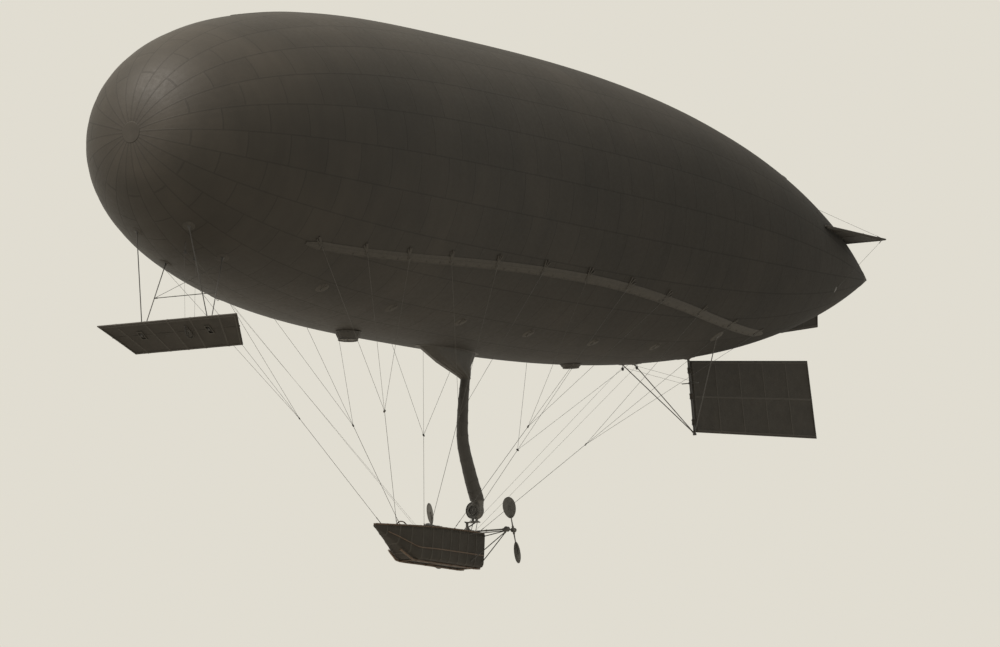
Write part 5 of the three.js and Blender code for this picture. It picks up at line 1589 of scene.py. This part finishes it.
def sheaveAt(bm, centre, axis, radius=0.05, strap=None):
    turned(bm, mirrored([(0, radius - 0.008), (0.008, radius), (0.012, radius)]), centre, axis, 20)
    for side in (-0.016, 0.016):
        at = centre + axis * side
        turned(bm, mirrored([(0.002, radius * 0.7)]), at, axis, 16)
        if strap is not None:
            rod(bm, at, strap + axis * side * 0.5, 0.005, 8)


# square to a way in the plane of y = 0 and pointing up
def aboveWay(way):
    over = axisY.cross(way).normalized()
    return over if over.z > 0 else -over


def buildRudderCables(wires, fittings):
    top, foot, reach = rudder["top"], rudder["foot"], cables["quadrant"]
    line, middle = (foot - top).normalized(), top.lerp(foot, cables["place"])
    ahead = (axisX - line * line.x).normalized()
    horn = bmesh.new()

    def spoke(degrees):
        turn = math.radians(degrees)
        return ahead * math.cos(turn) + axisY * math.sin(turn)

    for lift in (-0.008, 0.008):
        tube(horn, [middle + line * lift + spoke(10 * k) * reach for k in range(-13, 14)], 0.0065, 8,
             smooth=False)
    for degrees in (-130, -90, -45, 0, 45, 90, 130):
        rod(horn, middle + spoke(degrees) * 0.05, middle + spoke(degrees) * reach, 0.008, 10)
    turned(horn, [(-0.028, 0.041), (-0.028, 0.056), (0.028, 0.056), (0.028, 0.041), (-0.028, 0.041)],
           middle, line, 28)
    rod(horn, middle - ahead * 0.05, middle - ahead * 0.10, 0.02, 12)
    dress("rudder_quadrant", horn, "black_tube", body="rudder")
    r, low = cables["sheave"], cables["sternSheave"]
    for side in (1, -1):
        belly, stern = (Vector((x, side * y, z)) for x, y, z in (cables["bellyPulley"],
                                                                 cables["sternPulley"]))
        over, under = aboveWay(stern - belly), -hullRadius(belly.x)
        tube(wires, [middle + Vector((0.01, side * reach, 0)), belly + axisZ * r,
                     belly + Vector((0.02, 0, r - 0.003)), belly + over * r, stern + over * low],
             cables["wire"], 6, smooth=False)
        sheaveAt(fittings, belly, axisY, r, Vector((belly.x, belly.y, under + 0.02)))
        sheaveAt(fittings, stern, axisY, low)
        block(fittings, stern - Vector((0.03, 0.026, 0.034)), stern + Vector((0.03, 0.026, -0.02)), 0.004)
        tube(wires, [stern + over * low] + [stern + Vector((x, 0, z)) for x,
                                            z in ((low, 0), (0.032, -0.30), (0.036, -0.84))],
             cables["wire"], 6, smooth=False)
        padOnHull(fittings, belly.x, math.degrees(math.atan2(under, belly.y)), 0.12)


def buildElevatorCables(wires, fittings):
    disc, hub = bmesh.new(), elevator["hinge"] + axisY * cables["wheelY"]
    out, r = cables["wheel"], cables["sheave"]
    turned(disc, [(-0.012, out - 0.018), (-0.012, out + 0.004), (0, out - 0.004), (0.012, out + 0.004),
                  (0.012, out - 0.018), (-0.012, out - 0.018)], hub, axisY, 56)
    for k in range(6):
        way = Matrix.Rotation(math.radians(-60 * k - 4), 3, "Y") @ axisX
        rod(disc, hub + way * 0.03, hub + way * (out - 0.012), 0.009, 10)
    turned(disc, mirrored([(0.03, 0.046)]), hub, axisY, 24)
    dress("elevator_quadrant", disc, "black_tube", body="elevator")
    drum, d = cables["drum"], cables["drumRadius"]
    fore, aft = (Vector((x, cables["wheelY"], z)) for x, z in cables["bowPulleys"])
    over, under = aboveWay(drum - fore), -aboveWay(drum - aft)
    # the fore wire runs over its pulley from the front, the aft one behind its own
    for route in ([hub + axisX * out, fore + axisX * r, fore + Vector((r * 0.7, 0, r * 0.7)),
                   fore + axisZ * r, fore + over * r, drum + over * d], [hub - axisX * out,
                                                                         aft + Vector((-r, 0, -0.01)),
                                                                         drum + under * d]):
        tube(wires, route, cables["wire"], 6, smooth=False)
    for pulley in (fore, aft):
        sheaveAt(fittings, pulley, axisY, r, Vector((pulley.x, pulley.y, 0.09 - hullRadius(pulley.x))))


def buildBraces(wires, fittings):
    for side in (1, -1):
        for (x, y, z), (hullX, degrees) in braces:
            start, end = Vector((x, side * y, z)), onHull(hullX, degrees, 0.01)
            end.y *= side
            way = (end - start).normalized()
            rod(wires, start, end, 0.004, 6)
            buckleAt(fittings, start + way * 0.04, way, 0.16)
            padOnHull(fittings, end.x, angleOf(end), 0.09)


def buildCables():
    wires, fittings = bmesh.new(), bmesh.new()
    for build in (buildRudderCables, buildElevatorCables, buildBraces):
        build(wires, fittings)
    dress("control_wires", wires, "steel_wire")
    dress("pulleys_and_buckles", fittings, "black_tube")


buildCables()

print("stage, light and camera")

view = {"eye": Vector((216.6, 150.8, -37.4)), "aim": Vector((0.6, -0.2, -3.2)), "lens": 348.0}
stageLook = {"floorZ": -37.6, "radius": 120.0, "color": (0.34, 0.325, 0.295), "sky": (0.752, 0.722, 0.640)}
keyLight = {"from": Vector((0.55, -0.25, 0.80)), "energy": 6.0, "spread": 38, "color": (1.0, 0.93, 0.84)}


def buildStage():
    bm = bmesh.new()
    bmesh.ops.create_circle(bm, cap_ends=True, segments=96, radius=stageLook["radius"],
                            matrix=Matrix.Translation((0, 0, stageLook["floorZ"])))
    mesh = bpy.data.meshes.new("studio_floor")
    bm.to_mesh(mesh)
    bm.free()
    floor = bpy.data.objects.new("studio_floor", mesh)
    bpy.context.scene.collection.objects.link(floor)
    f = Finish("studio_floor", stageLook["color"], Roughness=0.9)
    x, y, _ = f.axes()
    away = (x ** 2.0 + y ** 2.0) ** 0.5
    f.feed(Alpha=1 - away.rise(stageLook["radius"] * 0.45, stageLook["radius"] * 0.98))
    mesh.materials.append(f.material)
    world = bpy.data.worlds.new("studio_air")
    bpy.context.scene.world = world
    world.use_nodes = True
    world.node_tree.nodes["Background"].inputs["Color"].default_value = (*stageLook["sky"], 1)
    world.node_tree.nodes["Background"].inputs["Strength"].default_value = 1.0


# puts a lamp or camera into the scene; its given axis points along direction
def stand(name, data, direction, axis):
    made = bpy.data.objects.new(name, data)
    made.rotation_mode = "QUATERNION"
    made.rotation_quaternion = direction.to_track_quat(axis, "Y")
    bpy.context.scene.collection.objects.link(made)
    return made


def buildLight():
    data = bpy.data.lights.new("key", "SUN")
    data.energy, data.color = keyLight["energy"], keyLight["color"]
    data.angle = math.radians(keyLight["spread"])
    stand("key", data, keyLight["from"], "Z")


def buildCamera():
    data = bpy.data.cameras.new("camera")
    data.lens, data.sensor_width = view["lens"], 36.0
    data.clip_start, data.clip_end = 1.0, 2000.0
    camera = stand("camera", data, view["aim"] - view["eye"], "-Z")
    camera.location = view["eye"]
    bpy.context.scene.camera = camera


buildStage()
buildLight()
buildCamera()
bpy.context.scene.view_settings.view_transform = "Standard"
